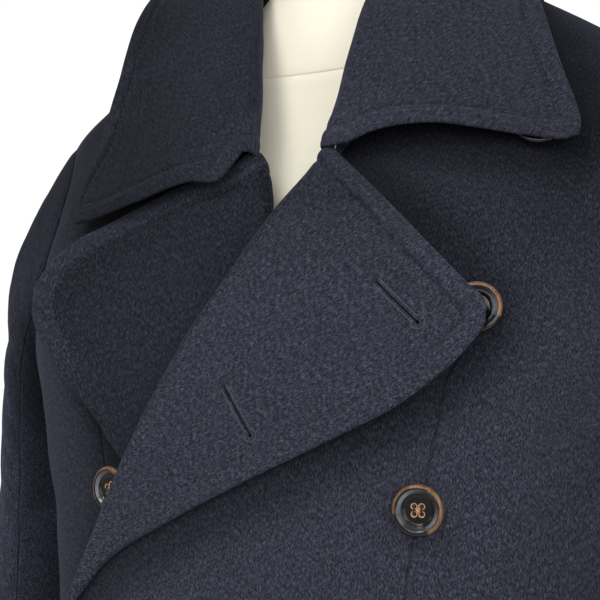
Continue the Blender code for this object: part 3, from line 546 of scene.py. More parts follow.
# Studio. Lamps: name, turn, rise, reach from the chest, size, power
WORLD_STRENGTH = 0.36
BACKDROP_STRENGTH = 1.02
# The backdrop fades in between these cosines of the angle to its middle, which lies this far up
BACKDROP_FADE = (0.78, 0.92)
BACKDROP_RISE = 0.06
CHEST = (0, -0.1, 1.3)
LIGHTS = (
    ("fill", 10, 25, 2.4, 1.2, 15),
    ("top", -14, 52, 2.4, 0.9, 26),
    ("key", 40, 4, 2.4, 1.4, 17),
    ("side", 70, 25, 2.4, 1.2, 12),
    ("left", -52, 16, 2.4, 0.6, 4),
    ("rear", 205, 28, 2.6, 1.6, 14),
)
CAMERA_TURN = 25.0
CAMERA_REACH = 0.82
CAMERA_HEIGHT = 1.25
VIEW_TURN = 27.7
VIEW_PITCH = 3.5
FOCAL_PIXELS = 1115
FRAME_PIXELS = 600
SENSOR_WIDTH = 36
FLOOR_HALF = 4.0
FLOOR_HEIGHT = -0.0005


# ---------------------------------------------------------------- curves and the coat's surface
def smooth(knots, values, at):
    """Smooth curve through values at knots, read at the places in at."""
    knots = np.asarray(knots, float)
    values = np.asarray(values, float)
    at = np.clip(at, knots[0], knots[-1])
    slope = np.gradient(values, knots)
    i = np.clip(np.searchsorted(knots, at, side="right") - 1, 0, len(knots) - 2)
    span = knots[i + 1] - knots[i]
    t = (at - knots[i]) / span
    start = (1 + 2 * t) * (1 - t) ** 2 * values[i] + t * (1 - t) ** 2 * span * slope[i]
    end = t * t * (3 - 2 * t) * values[i + 1] + t * t * (t - 1) * span * slope[i + 1]
    return start + end


def read(table, at):
    """All columns of a table after its first, read at the places in at."""
    columns = np.array(table).T
    return [smooth(columns[0], column, at) for column in columns[1:]]


def step(low, high, value):
    """Smooth rise from 0 at low to 1 at high."""
    t = np.clip((value - low) / (high - low), 0, 1)
    return t * t * (3 - 2 * t)


def unit(vectors):
    """Vectors of length one."""
    length = np.linalg.norm(vectors, axis=-1, keepdims=True)
    return vectors / np.maximum(length, 1e-12)


def flute(angle, height):
    """Share by which a ring swells or shrinks at an angle, growing towards the hem."""
    wave = sum(share * np.cos(count * angle + math.radians(phase)) for count, phase, share in FLUTES)
    return FLUTE_DEPTH / BODY_RINGS[0][1] * wave * step(FLUTE_TOP, HEM_HEIGHT, height)


def ring_point(rings, angle, height):
    """Point on stacked rounded rings: 0 degrees at +X, -90 at the front."""
    half, front, back, power = read(rings, height)
    cosine = np.cos(angle)
    sine = np.sin(angle)
    depth = np.where(sine < 0, front, back)
    x = half * np.sign(cosine) * np.abs(cosine) ** (2 / power)
    y = depth * np.sign(sine) * np.abs(sine) ** (2 / power)
    return x, y


def between(start, end, share):
    """Rows of values that run from start to end."""
    return start[:, None] + (end - start)[:, None] * share


def body_base(angle, height):
    """Point on the coat's inner surface."""
    angle, height = np.broadcast_arrays(np.asarray(angle, float), np.asarray(height, float))
    x, y = ring_point(BODY_RINGS, angle, height)
    swell = 1 + flute(angle, height)
    return np.stack([x * swell, y * swell, height], axis=-1)


def body_normal(angle, height):
    """Outward normal of the coat's inner surface."""
    across = body_base(angle + SMALL_TURN, height) - body_base(angle - SMALL_TURN, height)
    along = body_base(angle, height + SMALL_RISE) - body_base(angle, height - SMALL_RISE)
    return unit(np.cross(across, along))


def body(angle, height, lift=0.0):
    """Point on the coat's inner surface, moved out by lift."""
    return body_base(angle, height) + np.asarray(lift, float)[..., None] * body_normal(angle, height)


def front_angle(x, height):
    """Angle of the front's point at x."""
    half, _, _, power = read(BODY_RINGS, height)
    share = np.clip(np.abs(x) / half, 0, 1)
    return -np.arccos(np.sign(x) * share ** (power / 2))


def side_angle(y, height):
    """Angle of the left side's point at y."""
    _, front, back, power = read(BODY_RINGS, height)
    depth = np.where(y < 0, front, back)
    share = np.clip(np.abs(y) / depth, 0, 1)
    return np.sign(y) * np.arcsin(share ** (power / 2))


def mirrored(angle):
    """The same place on the wearer's right side."""
    return -math.pi - angle


def plan_point(x, y):
    """Angle and height of the surface point that lies at x, y seen from above."""
    low = np.full(np.shape(x), 1.20)
    high = np.full(np.shape(x), BODY_RINGS[-1][0])
    for _ in range(40):
        middle = (low + high) / 2
        half, front, back, power = read(BODY_RINGS, middle)
        depth = np.where(y < 0, front, back)
        outside = (np.abs(x) / half) ** power + (np.abs(y) / depth) ** power > 1
        high = np.where(outside, middle, high)
        low = np.where(outside, low, middle)
    height = (low + high) / 2
    half, front, back, power = read(BODY_RINGS, height)
    depth = np.where(y < 0, front, back)
    cosine = np.sign(x) * (np.abs(x) / half) ** (power / 2)
    sine = np.sign(y) * (np.abs(y) / depth) ** (power / 2)
    return np.arctan2(sine, cosine), height


def overlap(x, height):
    """How far the left front stands out over what lies under it."""
    covered = (1 - step(*OVERLAP_END, x)) * step(*OVERLAP_TOP, height)
    lapel = step(*LAPEL_LIFT_START, height) * step(*LAPEL_LIFT_TOP, height)
    return covered * (OVERLAP_LIFT + (LAPEL_LIFT - OVERLAP_LIFT) * lapel)


def armhole(turn):
    """Angle and height on the left armhole seam: 90 degrees at the shoulder, 180 in front, 270 under."""
    middle = (SHOULDER_HEIGHT + UNDERARM_HEIGHT) / 2
    half = (SHOULDER_HEIGHT - UNDERARM_HEIGHT) / 2
    height = middle + half * np.sin(turn)
    y = ARMHOLE_HALF_DEPTH * np.cos(turn)
    return side_angle(y, height), height


def outer_side(share, direction):
    """Side seam and armhole of a front (direction -1) or a back (direction 1)."""
    low = share <= UNDERARM_SHARE
    height = read(SIDE_SEAM, share)[0]
    angle = side_angle(np.full_like(share, direction * SEAM_GAP / 2), height)
    climb = np.clip((share - UNDERARM_SHARE) / (1 - UNDERARM_SHARE), 0, 1)
    hole_angle, hole_height = armhole(np.radians(270 + direction * 180 * climb))
    seam = side_angle(np.full_like(share, direction * SEAM_GAP / 2), hole_height)
    hole_angle = direction * np.maximum(direction * hole_angle, direction * seam)
    return np.where(low, angle, hole_angle), np.where(low, height, hole_height)


def back_neck(share):
    """Angle and height on the back's neck edge, from the side of the neck to the centre back."""
    return share * math.pi / 2, NECK_SIDE_HEIGHT + (CENTRE_BACK[-1][1] - NECK_SIDE_HEIGHT) * share


def fold_frame(line, towards, outward):
    """Direction across the cloth and away from the body, at each point of a fold line."""
    along = unit(np.gradient(line, axis=0))
    flat = towards - np.sum(towards * along, axis=-1, keepdims=True) * along
    across = unit(flat)
    away = np.cross(along, across)
    sign = np.sign(np.sum(away * outward, axis=-1, keepdims=True))
    return across, unit(away * sign)


def fold_section(centre, across, away, radius):
    """Half-round turn of cloth about a fold, from its under side round to its upper side."""
    turn = np.linspace(0, math.pi, FOLD_SEGMENTS + 1)[:-1]
    radius = np.broadcast_to(radius, centre.shape[:1])[:, None, None]
    under = -np.cos(turn)[None, :, None] * away[:, None, :]
    outside = -np.sin(turn)[None, :, None] * across[:, None, :]
    return centre[:, None, :] + radius * (under + outside)


# ---------------------------------------------------------------- cloth shells
def surface_normals(grid):
    """Normals of a grid of points, from the quads round each."""
    quad = np.cross(grid[1:, 1:] - grid[:-1, :-1], grid[1:, :-1] - grid[:-1, 1:])
    total = np.zeros_like(grid)
    for rows in (slice(0, -1), slice(1, None)):
        for columns in (slice(0, -1), slice(1, None)):
            total[rows, columns] += quad
    return unit(total)


def distance_to(grid, line):
    """Distance from each point of a grid to a line of points."""
    points = grid.reshape(-1, 3)
    best = np.full(len(points), np.inf)
    for a, b in zip(line[:-1], line[1:]):
        along = b - a
        length = max(float(along @ along), 1e-16)
        t = np.clip((points - a) @ along / length, 0, 1)
        best = np.minimum(best, np.sum((points - a - t[:, None] * along) ** 2, axis=1))
    return np.sqrt(best).reshape(grid.shape[:2])


def borders(grid):
    """First column, last column, first row and last row."""
    return grid[:, 0], grid[:, -1], grid[0], grid[-1]


def arc(grid, axis):
    """Length along a grid's lines, from its first row or column."""
    lengths = np.linalg.norm(np.diff(grid, axis=axis), axis=-1)
    start = np.zeros_like(np.take(lengths, [0], axis=axis))
    return np.cumsum(np.concatenate([start, lengths], axis=axis), axis=axis)


def build(name, points, faces, uv=None, tone=None):
    """Object with smooth faces that point outwards."""
    mesh = bpy.data.meshes.new(name)
    mesh.from_pydata(np.asarray(points).tolist(), [], [list(f) for f in faces])
    if uv is not None:
        layer = mesh.uv_layers.new(name="cloth")
        vertex = np.zeros(len(mesh.loops), np.int32)
        mesh.loops.foreach_get("vertex_index", vertex)
        layer.data.foreach_set("uv", np.asarray(uv, np.float32)[vertex].ravel())
    if tone is not None:
        shades = mesh.attributes.new("tone", "FLOAT", "POINT")
        shades.data.foreach_set("value", np.asarray(tone, np.float32))
    mesh.shade_smooth()
    made = bpy.data.objects.new(name, mesh)
    bpy.context.scene.collection.objects.link(made)
    return made


def shell(name, inner, outer, uv, radii, relief=0.0, mirror=False, tone=1.0):
    """Closed cloth shell with rounded edges. relief raises or lowers its outer side."""
    middle = (inner + outer) / 2
    half = (outer - inner) / 2
    profile = np.ones(inner.shape[:2])
    for border, radius in zip(borders(middle), radii):
        t = np.clip(distance_to(middle, border) / radius, 0, 1)
        profile = np.minimum(profile, np.sqrt(1 - (1 - t) ** 2))
    profile[:, [0, -1]] = 0
    profile[[0, -1]] = 0
    profile = profile[..., None]
    top = middle + half * profile + unit(half) * np.asarray(relief)[..., None] * profile
    bottom = middle - half * profile
    rows, columns = inner.shape[:2]
    front = np.arange(rows * columns).reshape(rows, columns)
    back = front.copy()
    within = (rows - 2, columns - 2)
    back[1:-1, 1:-1] = rows * columns + np.arange(within[0] * within[1]).reshape(within)
    points = np.concatenate([top.reshape(-1, 3), bottom[1:-1, 1:-1].reshape(-1, 3)])
    maps = np.concatenate([uv.reshape(-1, 2), uv[1:-1, 1:-1].reshape(-1, 2)])
    tone = np.broadcast_to(tone, (rows, columns))
    tones = np.concatenate([tone.ravel(), tone[1:-1, 1:-1].ravel()])
    quads = []
    for ids, order in ((front, (0, 1, 2, 3)), (back, (3, 2, 1, 0))):
        corner = [ids[:-1, :-1], ids[:-1, 1:], ids[1:, 1:], ids[1:, :-1]]
        quads.append(np.stack([corner[k] for k in order], axis=-1).reshape(-1, 4))
    faces = np.concatenate(quads)
    if mirror:
        points = points * (-1, 1, 1)
    a, b, c, d = (points[faces[:, k]] for k in range(4))
    volume = np.sum(a * np.cross(b, c)) + np.sum(a * np.cross(c, d))
    if volume < 0:
        faces = faces[:, ::-1]
    return build(name, points + (0, WHOLE_SHIFT_Y, 0), faces, maps, tones)


def spread_marks(length, spacing, near_start, near_end):
    """Places from 0 to 1 along a length, closer together by its rims (1) or its stitched edges (2)."""
    rim = [0.0, 0.0003, 0.0007, 0.0012, 0.0018, 0.0026, 0.0036]
    kinds = ([0.0], rim, rim + list(np.arange(0.0046, 0.0165, 0.001)))
    start, end = kinds[near_start], kinds[near_end]
    low, high = start[-1], length - end[-1]
    count = max(2, int(round((high - low) / spacing)))
    inside = np.linspace(low, high, count + 1)[1:-1]
    marks = np.concatenate([start, inside, length - np.array(end[::-1])])
    return marks / length


def turned_map(u, v, turn):
    """Places on the flat cloth, turned by an angle."""
    cosine, sine = np.cos(turn), np.sin(turn)
    return np.stack([u * cosine + v * sine, v * cosine - u * sine], axis=-1)


def bell(value, width):
    """Bell curve: 1 at 0."""
    return np.exp(-((value / width) ** 2))


def groove(distance, at, width, depth):
    """Stitched line sunk into the cloth at a distance from an edge, the strip beyond it puffed up."""
    line = -depth * bell(distance - at, width)
    strip = 0.75 * depth * bell(distance - 0.62 * at, 0.34 * at)
    inside = 0.30 * depth * bell(distance - 1.35 * at, 0.30 * at)
    return line + strip + inside


def painted_seam_shading(distance, at, strip, line):
    """Painted highlight on the strip outside a stitched line, and painted shade darkening the line itself.
    """
    outside = 1 - step(at - 0.0025, at - 0.0005, distance)
    return 1 + strip * outside - line * bell(distance - at, 0.0009)


def rumple(u, v):
    """Slight unevenness of heavy cloth over the length of a few centimetres."""
    turn = 2 * math.pi
    a = np.sin(turn * (u / 0.047 + 0.35 * np.sin(turn * v / 0.130))) * np.sin(turn * v / 0.071 + 1.3)
    b = np.sin(turn * (u / 0.083 + v / 0.117) + 0.8) * np.sin(turn * (v / 0.059 - u / 0.205))
    c = np.sin(turn * (u / 0.026 - v / 0.041) + 2.1) * np.sin(turn * (u / 0.033 + v / 0.027))
    return RUMPLE * (a + b + 0.35 * c)


def creases(table, s, t):
    """Sum of soft troughs (negative depth) and ridges, each along a line that fades at its ends."""
    total = np.zeros(np.broadcast(s, t).shape)
    for s0, t0, s1, t1, width, depth in table:
        along_s, along_t = s1 - s0, t1 - t0
        length = math.hypot(along_s, along_t)
        k = ((s - s0) * along_s + (t - t0) * along_t) / length**2
        bow = 0.10 * length * np.sin(math.pi * np.clip(k, 0, 1))
        side = ((s - s0) * along_t - (t - t0) * along_s) / length - bow
        fade = step(-0.15, 0.35, k) * (1 - step(0.60, 1.15, k))
        total = total + depth * bell(side, width) * fade
    return total


def drape(angle, height):
    """Creases of the body, measured round it on a mean radius, and up it."""
    return creases(BODY_CREASES, angle * MEAN_RADIUS, height)


# ---------------------------------------------------------------- the cloth pieces
def painted_lean_shade(tilt):
    """Painted shade by the cloth's tilt: darker where it leans back."""
    return 1 - LEAN_SHADE_PAINTED * step(0.02, 0.48, tilt)


def painted_body_lean_shade(angle, height):
    """Painted shade on the body by the cloth's tilt."""
    return painted_lean_shade(body_normal(angle, height)[..., 2])


def dart_x(height):
    """Distance of the front's dart from the centre."""
    knots = np.array(DART)[::-1]
    return np.interp(height, knots[:, 1], knots[:, 0])


def front_piece(name, edge, right):
    """One front, from its inner edge to the side seam and armhole, with its dart."""
    low = spread_marks(0.67, 0.0062, 1, 0) * BREAK_SHARE
    high = BREAK_SHARE + (1 - BREAK_SHARE) * spread_marks(0.50, 0.0050, 0, 1)
    share = np.concatenate([low, high[1:]])
    x, inner_height = read(edge, share)
    inner_angle = front_angle(x, inner_height)
    inner_angle[-1] = side_angle(np.array(-SEAM_GAP / 2), inner_height[-1])
    outer_angle, outer_height = outer_side(share, -1)

    def place(across):
        return between(inner_angle, outer_angle, across), between(inner_height, outer_height, across)

    trial = np.linspace(0, 1, 80)
    angle, height = place(trial)
    off = body_base(angle, height)[..., 0] - dart_x(height)
    dart_at = np.array([np.interp(0, row[:50], trial[:50]) for row in off])
    dart_at = np.clip(dart_at, 0.25, 0.62)[:, None]
    before = spread_marks(0.21, 0.0058, 2, 0) * (DART_COLUMN - DART_CLUSTER[-1])
    past = DART_COLUMN + DART_CLUSTER[-1]
    after = past + (1 - DART_COLUMN - DART_CLUSTER[-1]) * spread_marks(0.25, 0.0062, 0, 1)
    column = np.concatenate([before[:-1], DART_COLUMN + DART_CLUSTER, after[1:]])
    beyond = dart_at + (column - DART_COLUMN) / (1 - DART_COLUMN) * (1 - dart_at)
    across = np.where(column < DART_COLUMN, column / DART_COLUMN * dart_at, beyond)
    angle, height = place(across)
    inner_x = body_base(angle, height)[..., 0]
    lift = 0 * height if right else overlap(inner_x, height)
    calm = 1 - step(1.02, 1.10, height) * (1 - step(0.150, 0.200, inner_x)) * 0.85
    true_angle = mirrored(angle) if right else angle
    lift = lift + calm * (drape(true_angle, height) + rumple(true_angle * MEAN_RADIUS, height))
    inner = body(true_angle, height, lift)
    outer = body(true_angle, height, lift + CLOTH)
    edge_distance = distance_to(outer, outer[share <= BREAK_SHARE][:, 0])
    below = 1 - step(LEFT_BREAK_HEIGHT - 0.05, LEFT_BREAK_HEIGHT, height)
    relief = below * groove(edge_distance, STITCH_INSET, EDGE_LINE, 0.0007)
    from_dart = inner_x - dart_x(height)
    sunk = -0.0011 * bell(from_dart, 0.0009) - 0.0006 * bell(from_dart, 0.0080)
    dart_end = DART[-1][1]
    dart_fade = step(dart_end - 0.04, dart_end + 0.02, height) * (1 - step(1.27, 1.30, height))
    relief = relief + dart_fade * sunk
    u = arc(outer, 1)
    across = u / u[:, -1:]
    rows = zip(inner_x[:, :60], u[:, :60])
    u = u - np.array([[np.interp(0.05, row_x, row_u)] for row_x, row_u in rows])
    v = np.broadcast_to(arc(outer, 0)[:, 60:61], u.shape)
    uv = np.stack([-u if right else u, v], axis=-1)
    # Painted light and shade: the piece's lightness, blending into the back's towards the side, darker
    # where the cloth leans back
    tone = BODY_TONE[right] + (BACK_TONE - BODY_TONE[right]) * step(0.45, 0.95, across)
    tone = tone * painted_body_lean_shade(true_angle, height)
    # Painted shade along the dart's sunk line
    tone = tone * (1 - 0.20 * dart_fade * bell(from_dart, 0.0010))
    return shell(name, inner, outer, uv, FRONT_ROUNDING, relief, tone=tone)


def back_piece(name, right):
    """One back, from the centre seam to the side seam and armhole, up to the neck and shoulder."""
    share = spread_marks(1.18, 0.0075, 1, 1)
    neck = np.linspace(0, NECK_SHARE, 22)
    across = spread_marks(0.46, 0.0072, 1, 1)
    past_neck = across[across > NECK_SHARE + 0.01]
    across = np.unique(np.concatenate([across[across < 0.02], neck[1:], past_neck]))
    centre_height = read(CENTRE_BACK, share)[0]
    centre_angle = -front_angle(np.full_like(share, SEAM_GAP / 2), centre_height)
    outer_angle, outer_height = outer_side(share, 1)
    angle = between(centre_angle, outer_angle, across)
    height = between(centre_height, outer_height, across)
    neck_angle, neck_height = back_neck(1 - np.clip(across / NECK_SHARE, 0, 1))
    shoulder = np.clip((across - NECK_SHARE) / (1 - NECK_SHARE), 0, 1)
    top_height = neck_height + (outer_height[-1] - NECK_SIDE_HEIGHT) * shoulder
    seam_angle = side_angle(np.full_like(across, SEAM_GAP / 2), top_height)
    top_angle = np.clip(neck_angle, seam_angle, centre_angle[-1])
    pull = step(0.60, 1.0, share)[:, None]
    angle = angle + pull * (top_angle - angle[-1])
    height = height + pull * (top_height - height[-1])
    angle = mirrored(angle) if right else angle
    wound = np.where(angle < -math.pi / 2, angle + 2 * math.pi, angle)
    lift = drape(wound, height) + rumple(wound * MEAN_RADIUS, height)
    inner = body(angle, height, lift)
    outer = body(angle, height, lift + CLOTH)
    uv = np.stack([arc(outer, 1) * (1 if right else -1), arc(outer, 0)], axis=-1)
    # Painted light and shade: the back's lightness, darker where the cloth leans back
    tone = BACK_TONE * painted_body_lean_shade(angle, height)
    return shell(name, inner, outer, uv, BACK_ROUNDING, tone=tone)


def lapel_grid(edge, lapel_edge, lapel_top, right):
    """Inner side of a lapel on its own side: the turn round the roll line, then the leaf."""
    share = spread_marks(0.34, 0.0024, 1, 2)
    across = spread_marks(0.125, 0.0017, 0, 2)
    roll_x, roll_height = read(edge, BREAK_SHARE + (GORGE_SHARE - BREAK_SHARE) * share)
    edge_x, edge_height = read(lapel_edge, share)
    top_x, top_height = read(lapel_top, across)
    x = between(roll_x, edge_x, across)
    height = between(roll_height, edge_height, across)
    bend = (share**3)[:, None]
    x = x + bend * (top_x - x[-1])
    height = height + bend * (top_height - height[-1])
    angle = front_angle(x, height)
    if right:
        under = 0 * x
        radius = PRESSED_RADIUS + (FOLD_RADIUS - PRESSED_RADIUS) * step(0.80, 1.0, share)
        left_roll = np.interp(height, [row[2] for row in LEFT_EDGE], [row[1] for row in LEFT_EDGE])
        beyond = step(RIGHT_STAND_START, RIGHT_STAND_START + RIGHT_STAND_WIDTH, x + left_roll)
        stand = RIGHT_LAPEL_STAND * across**RIGHT_STAND_POWER * beyond
    else:
        under = overlap(x, height)
        radius = PRESSED_RADIUS + (FOLD_RADIUS - PRESSED_RADIUS) * step(0.0, 0.5, share)
        stand = LEFT_LAPEL_STAND * across**2 * step(0.30, 0.95, share)[:, None]
    start = under[:, 0] + CLOTH + 2 * radius
    rest = under + CLOTH + LAPEL_REST
    fall = 1 - step(0, 1, across)
    lift = rest + (start - rest[:, 0])[:, None] * fall + stand
    lift = lift + rumple(x, height) * (1 - fall) * 0.8
    leaf = body(angle, height, lift)
    normal = body_normal(angle[:, 0], height[:, 0])
    middle = body(angle[:, 0], height[:, 0], under[:, 0] + CLOTH + radius)
    spread, away = fold_frame(middle, leaf[:, -1] - leaf[:, 0], normal)
    middle = middle - SEAM_GAP * spread
    grid = np.concatenate([fold_section(middle, spread, away, radius), leaf], axis=1)
    half_width = read(BODY_RINGS, height)[0]
    flat = np.stack([half_width * np.arcsin(x / half_width), height], axis=-1)
    turned = grid.shape[1] - flat.shape[1]
    back = arc(grid, 1)[:, : turned + 1]
    first = flat[:, :1] - (back[:, -1:] - back[:, :-1])[..., None] * (1, 0)
    return grid, np.concatenate([first, flat], axis=1)


def lapel_piece(name, edge, lapel_edge, lapel_top, right):
    """A lapel's shell, and the path of its stitched line."""
    inner, flat = lapel_grid(edge, lapel_edge, lapel_top, right)
    outer = inner + LAPEL_CLOTH * surface_normals(inner)
    free = np.concatenate([outer[:, -1], outer[-1, ::-1]])
    distance = distance_to(outer, free)
    to_top = distance_to(outer, outer[-1])
    strong = step(0.10, 0.0, to_top) if right else 0.30 + 0.70 * (1 - step(0.010, 0.050, to_top))
    inset = LAPEL_INSET[right]
    relief = groove(distance, inset, LEAF_LINE, 0.0013) * strong
    for hole in () if right else LAPEL_HOLES:
        relief = relief - slit_depth(flat, hole)
    side = -1 if right else 1
    uv = turned_map(flat[..., 0] * side, flat[..., 1], math.radians(LAPEL_NAP[right]))
    # Painted light and shade: the lapel's lightness, darker where it leans back, a paler strip outside the
    # stitched line and a darker line on it
    tone = LAPEL_TONE[right] * painted_lean_shade(surface_normals(outer)[..., 2]) ** 0.6
    tone = tone * painted_seam_shading(distance, inset, LAPEL_STRIP[right] * strong, 0.30 * strong)
    made = shell(name, inner, outer, uv, LAPEL_ROUNDING, relief, right, tone)
    return made, contour(outer, distance, inset) * (side, 1, 1)


def slit_depth(flat, hole):
    """Hollow that a buttonhole presses into the cloth round it."""
    (x0, z0), (x1, z1) = hole
    length = math.hypot(x1 - x0, z1 - z0)
    along = ((flat[..., 0] - x0) * (x1 - x0) + (flat[..., 1] - z0) * (z1 - z0)) / length
    side = ((flat[..., 0] - x0) * (z1 - z0) - (flat[..., 1] - z0) * (x1 - x0)) / length
    inside = step(-0.006, 0.001, along) * (1 - step(length - 0.001, length + 0.006, along))
    return 0.0005 * bell(side, 0.0040) * inside


def crossing(line, distance, at):
    """Point of a line where its distance first reaches a value, if it does so past its start."""
    hit = np.argmax(distance >= at)
    if hit == 0:
        return None
    t = (at - distance[hit - 1]) / (distance[hit] - distance[hit - 1])
    return line[hit - 1] + t * (line[hit] - line[hit - 1])


def contour(grid, distance, at):
    """Points of a grid at one distance from its free edges: up its last column, back along its last row."""
    found = [crossing(grid[r, ::-1], distance[r, ::-1], at) for r in range(grid.shape[0])]
    found = [point for point in found if point is not None]
    for c in range(grid.shape[1] - 1, -1, -1):
        point = crossing(grid[::-1, c], distance[::-1, c], at)
        if point is not None and np.linalg.norm(point - found[-1]) < 0.012:
            found.append(point)
    return np.array(found)


def collar_side(edge, fold_table, front_table, edge_table, half, across, right):
    """Neck seam, its outward direction, fold line and lying leaf of one side of the collar."""
    climb = np.clip(half / NECK_SIDE_SHARE, 0, 1)
    seam_x, front_height = read(edge, COLLAR_START + (1 - COLLAR_START) * climb)
    back_angle, back_height = back_neck(np.clip((half - NECK_SIDE_SHARE) / (1 - NECK_SIDE_SHARE), 0, 1))
    behind = half > NECK_SIDE_SHARE
    seam_angle = np.where(behind, back_angle, front_angle(seam_x, front_height))
    seam_height = np.where(behind, back_height, front_height)
    under = 0 * seam_height if right else overlap(body_base(seam_angle, seam_height)[:, 0], seam_height)
    seam = body(seam_angle, seam_height, under)
    normal = body_normal(seam_angle, seam_height)
    fold = np.stack(read(fold_table, half), axis=-1)
    edge_x, edge_y, stand = read(edge_table, half)
    angle, height = plan_point(between(seam[:, 0], edge_x, across), between(seam[:, 1], edge_y, across))
    lift = under[:, None] * (1 - across) + stand[:, None] * across**EDGE_STAND_GROWTH + COLLAR_REST
    front_x, front_height, front_stand = read(front_table, across)
    hold = (1 - step(0, COLLAR_FRONT_HOLD, half))[:, None]
    angle = angle + hold * (front_angle(front_x, front_height) - angle[0])
    height = height + hold * (front_height - height[0])
    lift = lift + hold * (front_stand - lift[0])
    lying = body(angle, height, CLOTH + lift)
    return seam, normal, fold, lying


def eased(rows, reach):
    """Rows with the bend at their middle row rounded off."""
    count = len(rows)
    weight = np.exp(-(((np.arange(count) - count // 2) / reach) ** 2))
    weight = weight.reshape(-1, *[1] * (rows.ndim - 1))
    for _ in range(60):
        mean = rows.copy()
        mean[1:-1] = (rows[:-2] + rows[2:]) / 2
        rows = rows + weight * 0.8 * (mean - rows)
    return rows


def collar_pieces():
    """The collar's leaf, its stand, and the path of the leaf's stitched line."""
    half = spread_marks(0.36, 0.0032, 2, 0)
    across = spread_marks(0.135, 0.0024, 0, 2)
    left_tables = (LEFT_EDGE, LEFT_COLLAR_FOLD, LEFT_COLLAR_FRONT, LEFT_COLLAR_EDGE)
    right_tables = (RIGHT_EDGE, RIGHT_COLLAR_FOLD, RIGHT_COLLAR_FRONT, RIGHT_COLLAR_EDGE)
    left = collar_side(*left_tables, half, across, right=False)
    right = collar_side(*right_tables, half, across, right=True)
    sides = [np.concatenate([a, b[-2::-1] * (-1, 1, 1)]) for a, b in zip(left, right)]
    seam, normal, fold, lying = [eased(rows, 9) for rows in sides]
    outward = fold * (1, 1, 0) + (0, 0, COLLAR_UPWARD)
    spread, away = fold_frame(fold, lying[:, -1] - fold, outward)
    top = fold + FOLD_RADIUS * away
    fall = (1 - step(0, 1, across))[None, :, None]
    leaf = lying + fall * (top - lying[:, 0])[:, None, :]
    inner = np.concatenate([fold_section(fold, spread, away, FOLD_RADIUS), leaf], axis=1)
    outer = inner + LAPEL_CLOTH * surface_normals(inner)
    u, v = arc(outer, 0), arc(outer, 1)
    u = u - u[len(u) // 2]
    free = np.concatenate([outer[0], outer[:, -1], outer[-1, ::-1]])
    distance = distance_to(outer, free)
    relief = groove(distance, STITCH_INSET, LEAF_LINE, 0.0011) + 0.7 * rumple(u, v)
    uv = turned_map(u, v, np.clip(u / 0.20, -1, 1) * math.radians(COLLAR_NAP))
    # Painted light and shade: each half's lightness; the right half paler by its fold and darker towards
    # its outer edge; darker where the leaf leans back and along the stitched line
    right = step(-0.12, 0.12, u)
    tone = COLLAR_TONE[0] + (COLLAR_TONE[1] - COLLAR_TONE[0]) * right
    tone = tone * (1 + right * (COLLAR_FOLD_GAIN - COLLAR_EDGE_LOSS * step(0.035, 0.125, v)))
    to_front = np.minimum(distance_to(outer, outer[0]), distance_to(outer, outer[-1]))
    line_shade = 0.34 * (1 - 0.6 * (1 - step(0.02, 0.06, to_front)))
    tone = tone * painted_lean_shade(surface_normals(outer)[..., 2])
    tone = tone * painted_seam_shading(distance, STITCH_INSET, 0.05, line_shade)
    leaf_made = shell("collar_leaf_cloth", inner, outer, uv, COLLAR_ROUNDING, relief, tone=tone)
    path = collar_contour(outer, distance)
    head = fold - (FOLD_RADIUS + CLOTH) * away + SEAM_GAP * spread
    up = unit(head - seam - np.sum((head - seam) * normal, axis=-1, keepdims=True) * normal)
    foot = seam + 2 * SEAM_GAP * up
    rise = spread_marks(0.05, 0.0040, 1, 1)[None, :, None]
    inner = foot[:, None, :] + (head - foot)[:, None, :] * rise
    thick = unit(normal[:, None, :] * (1 - rise) + away[:, None, :] * rise)
    uv = np.stack([arc(inner, 0), arc(inner, 1)], axis=-1)
    outer = inner + CLOTH * thick
    stand_made = shell("collar_stand_cloth", inner, outer, uv, STAND_ROUNDING)
    return leaf_made, stand_made, path


def collar_contour(grid, distance):
    """Stitched line round the collar's leaf: one front edge, the outer edge and the other front edge."""
    half = len(grid) // 2
    one = contour(grid[half:], distance[half:], STITCH_INSET)
    other = contour(grid[half::-1], distance[half::-1], STITCH_INSET)
    return np.concatenate([other[::-1], one[1:]])


def sleeve_grid(turn, share):
    """Grid on the left sleeve's outer side; turn as in the armhole, share along the sleeve."""
    outer_x, outer_z, inner_x, inner_z, middle_y, depth = read(SLEEVE_RINGS, share)
    outer = np.stack([outer_x, middle_y, outer_z], axis=-1)
    inner = np.stack([inner_x, middle_y, inner_z], axis=-1)
    sine = np.sin(turn)[None, :, None]
    cosine = np.cos(turn)[None, :, None]
    middle = (outer + inner)[:, None, :] / 2
    along_y = np.array([0.0, 1.0, 0.0])
    rings = middle + (outer - inner)[:, None, :] / 2 * sine + depth[:, None, None] * along_y * cosine
    hole_angle, hole_height = armhole(turn)
    start = body(hole_angle, hole_height, CLOTH + 2 * SEAM_GAP)
    hold = 1 - step(0, SLEEVE_HEAD_SHARE, share)
    return rings + hold[:, None, None] * (start - rings[0])[None]


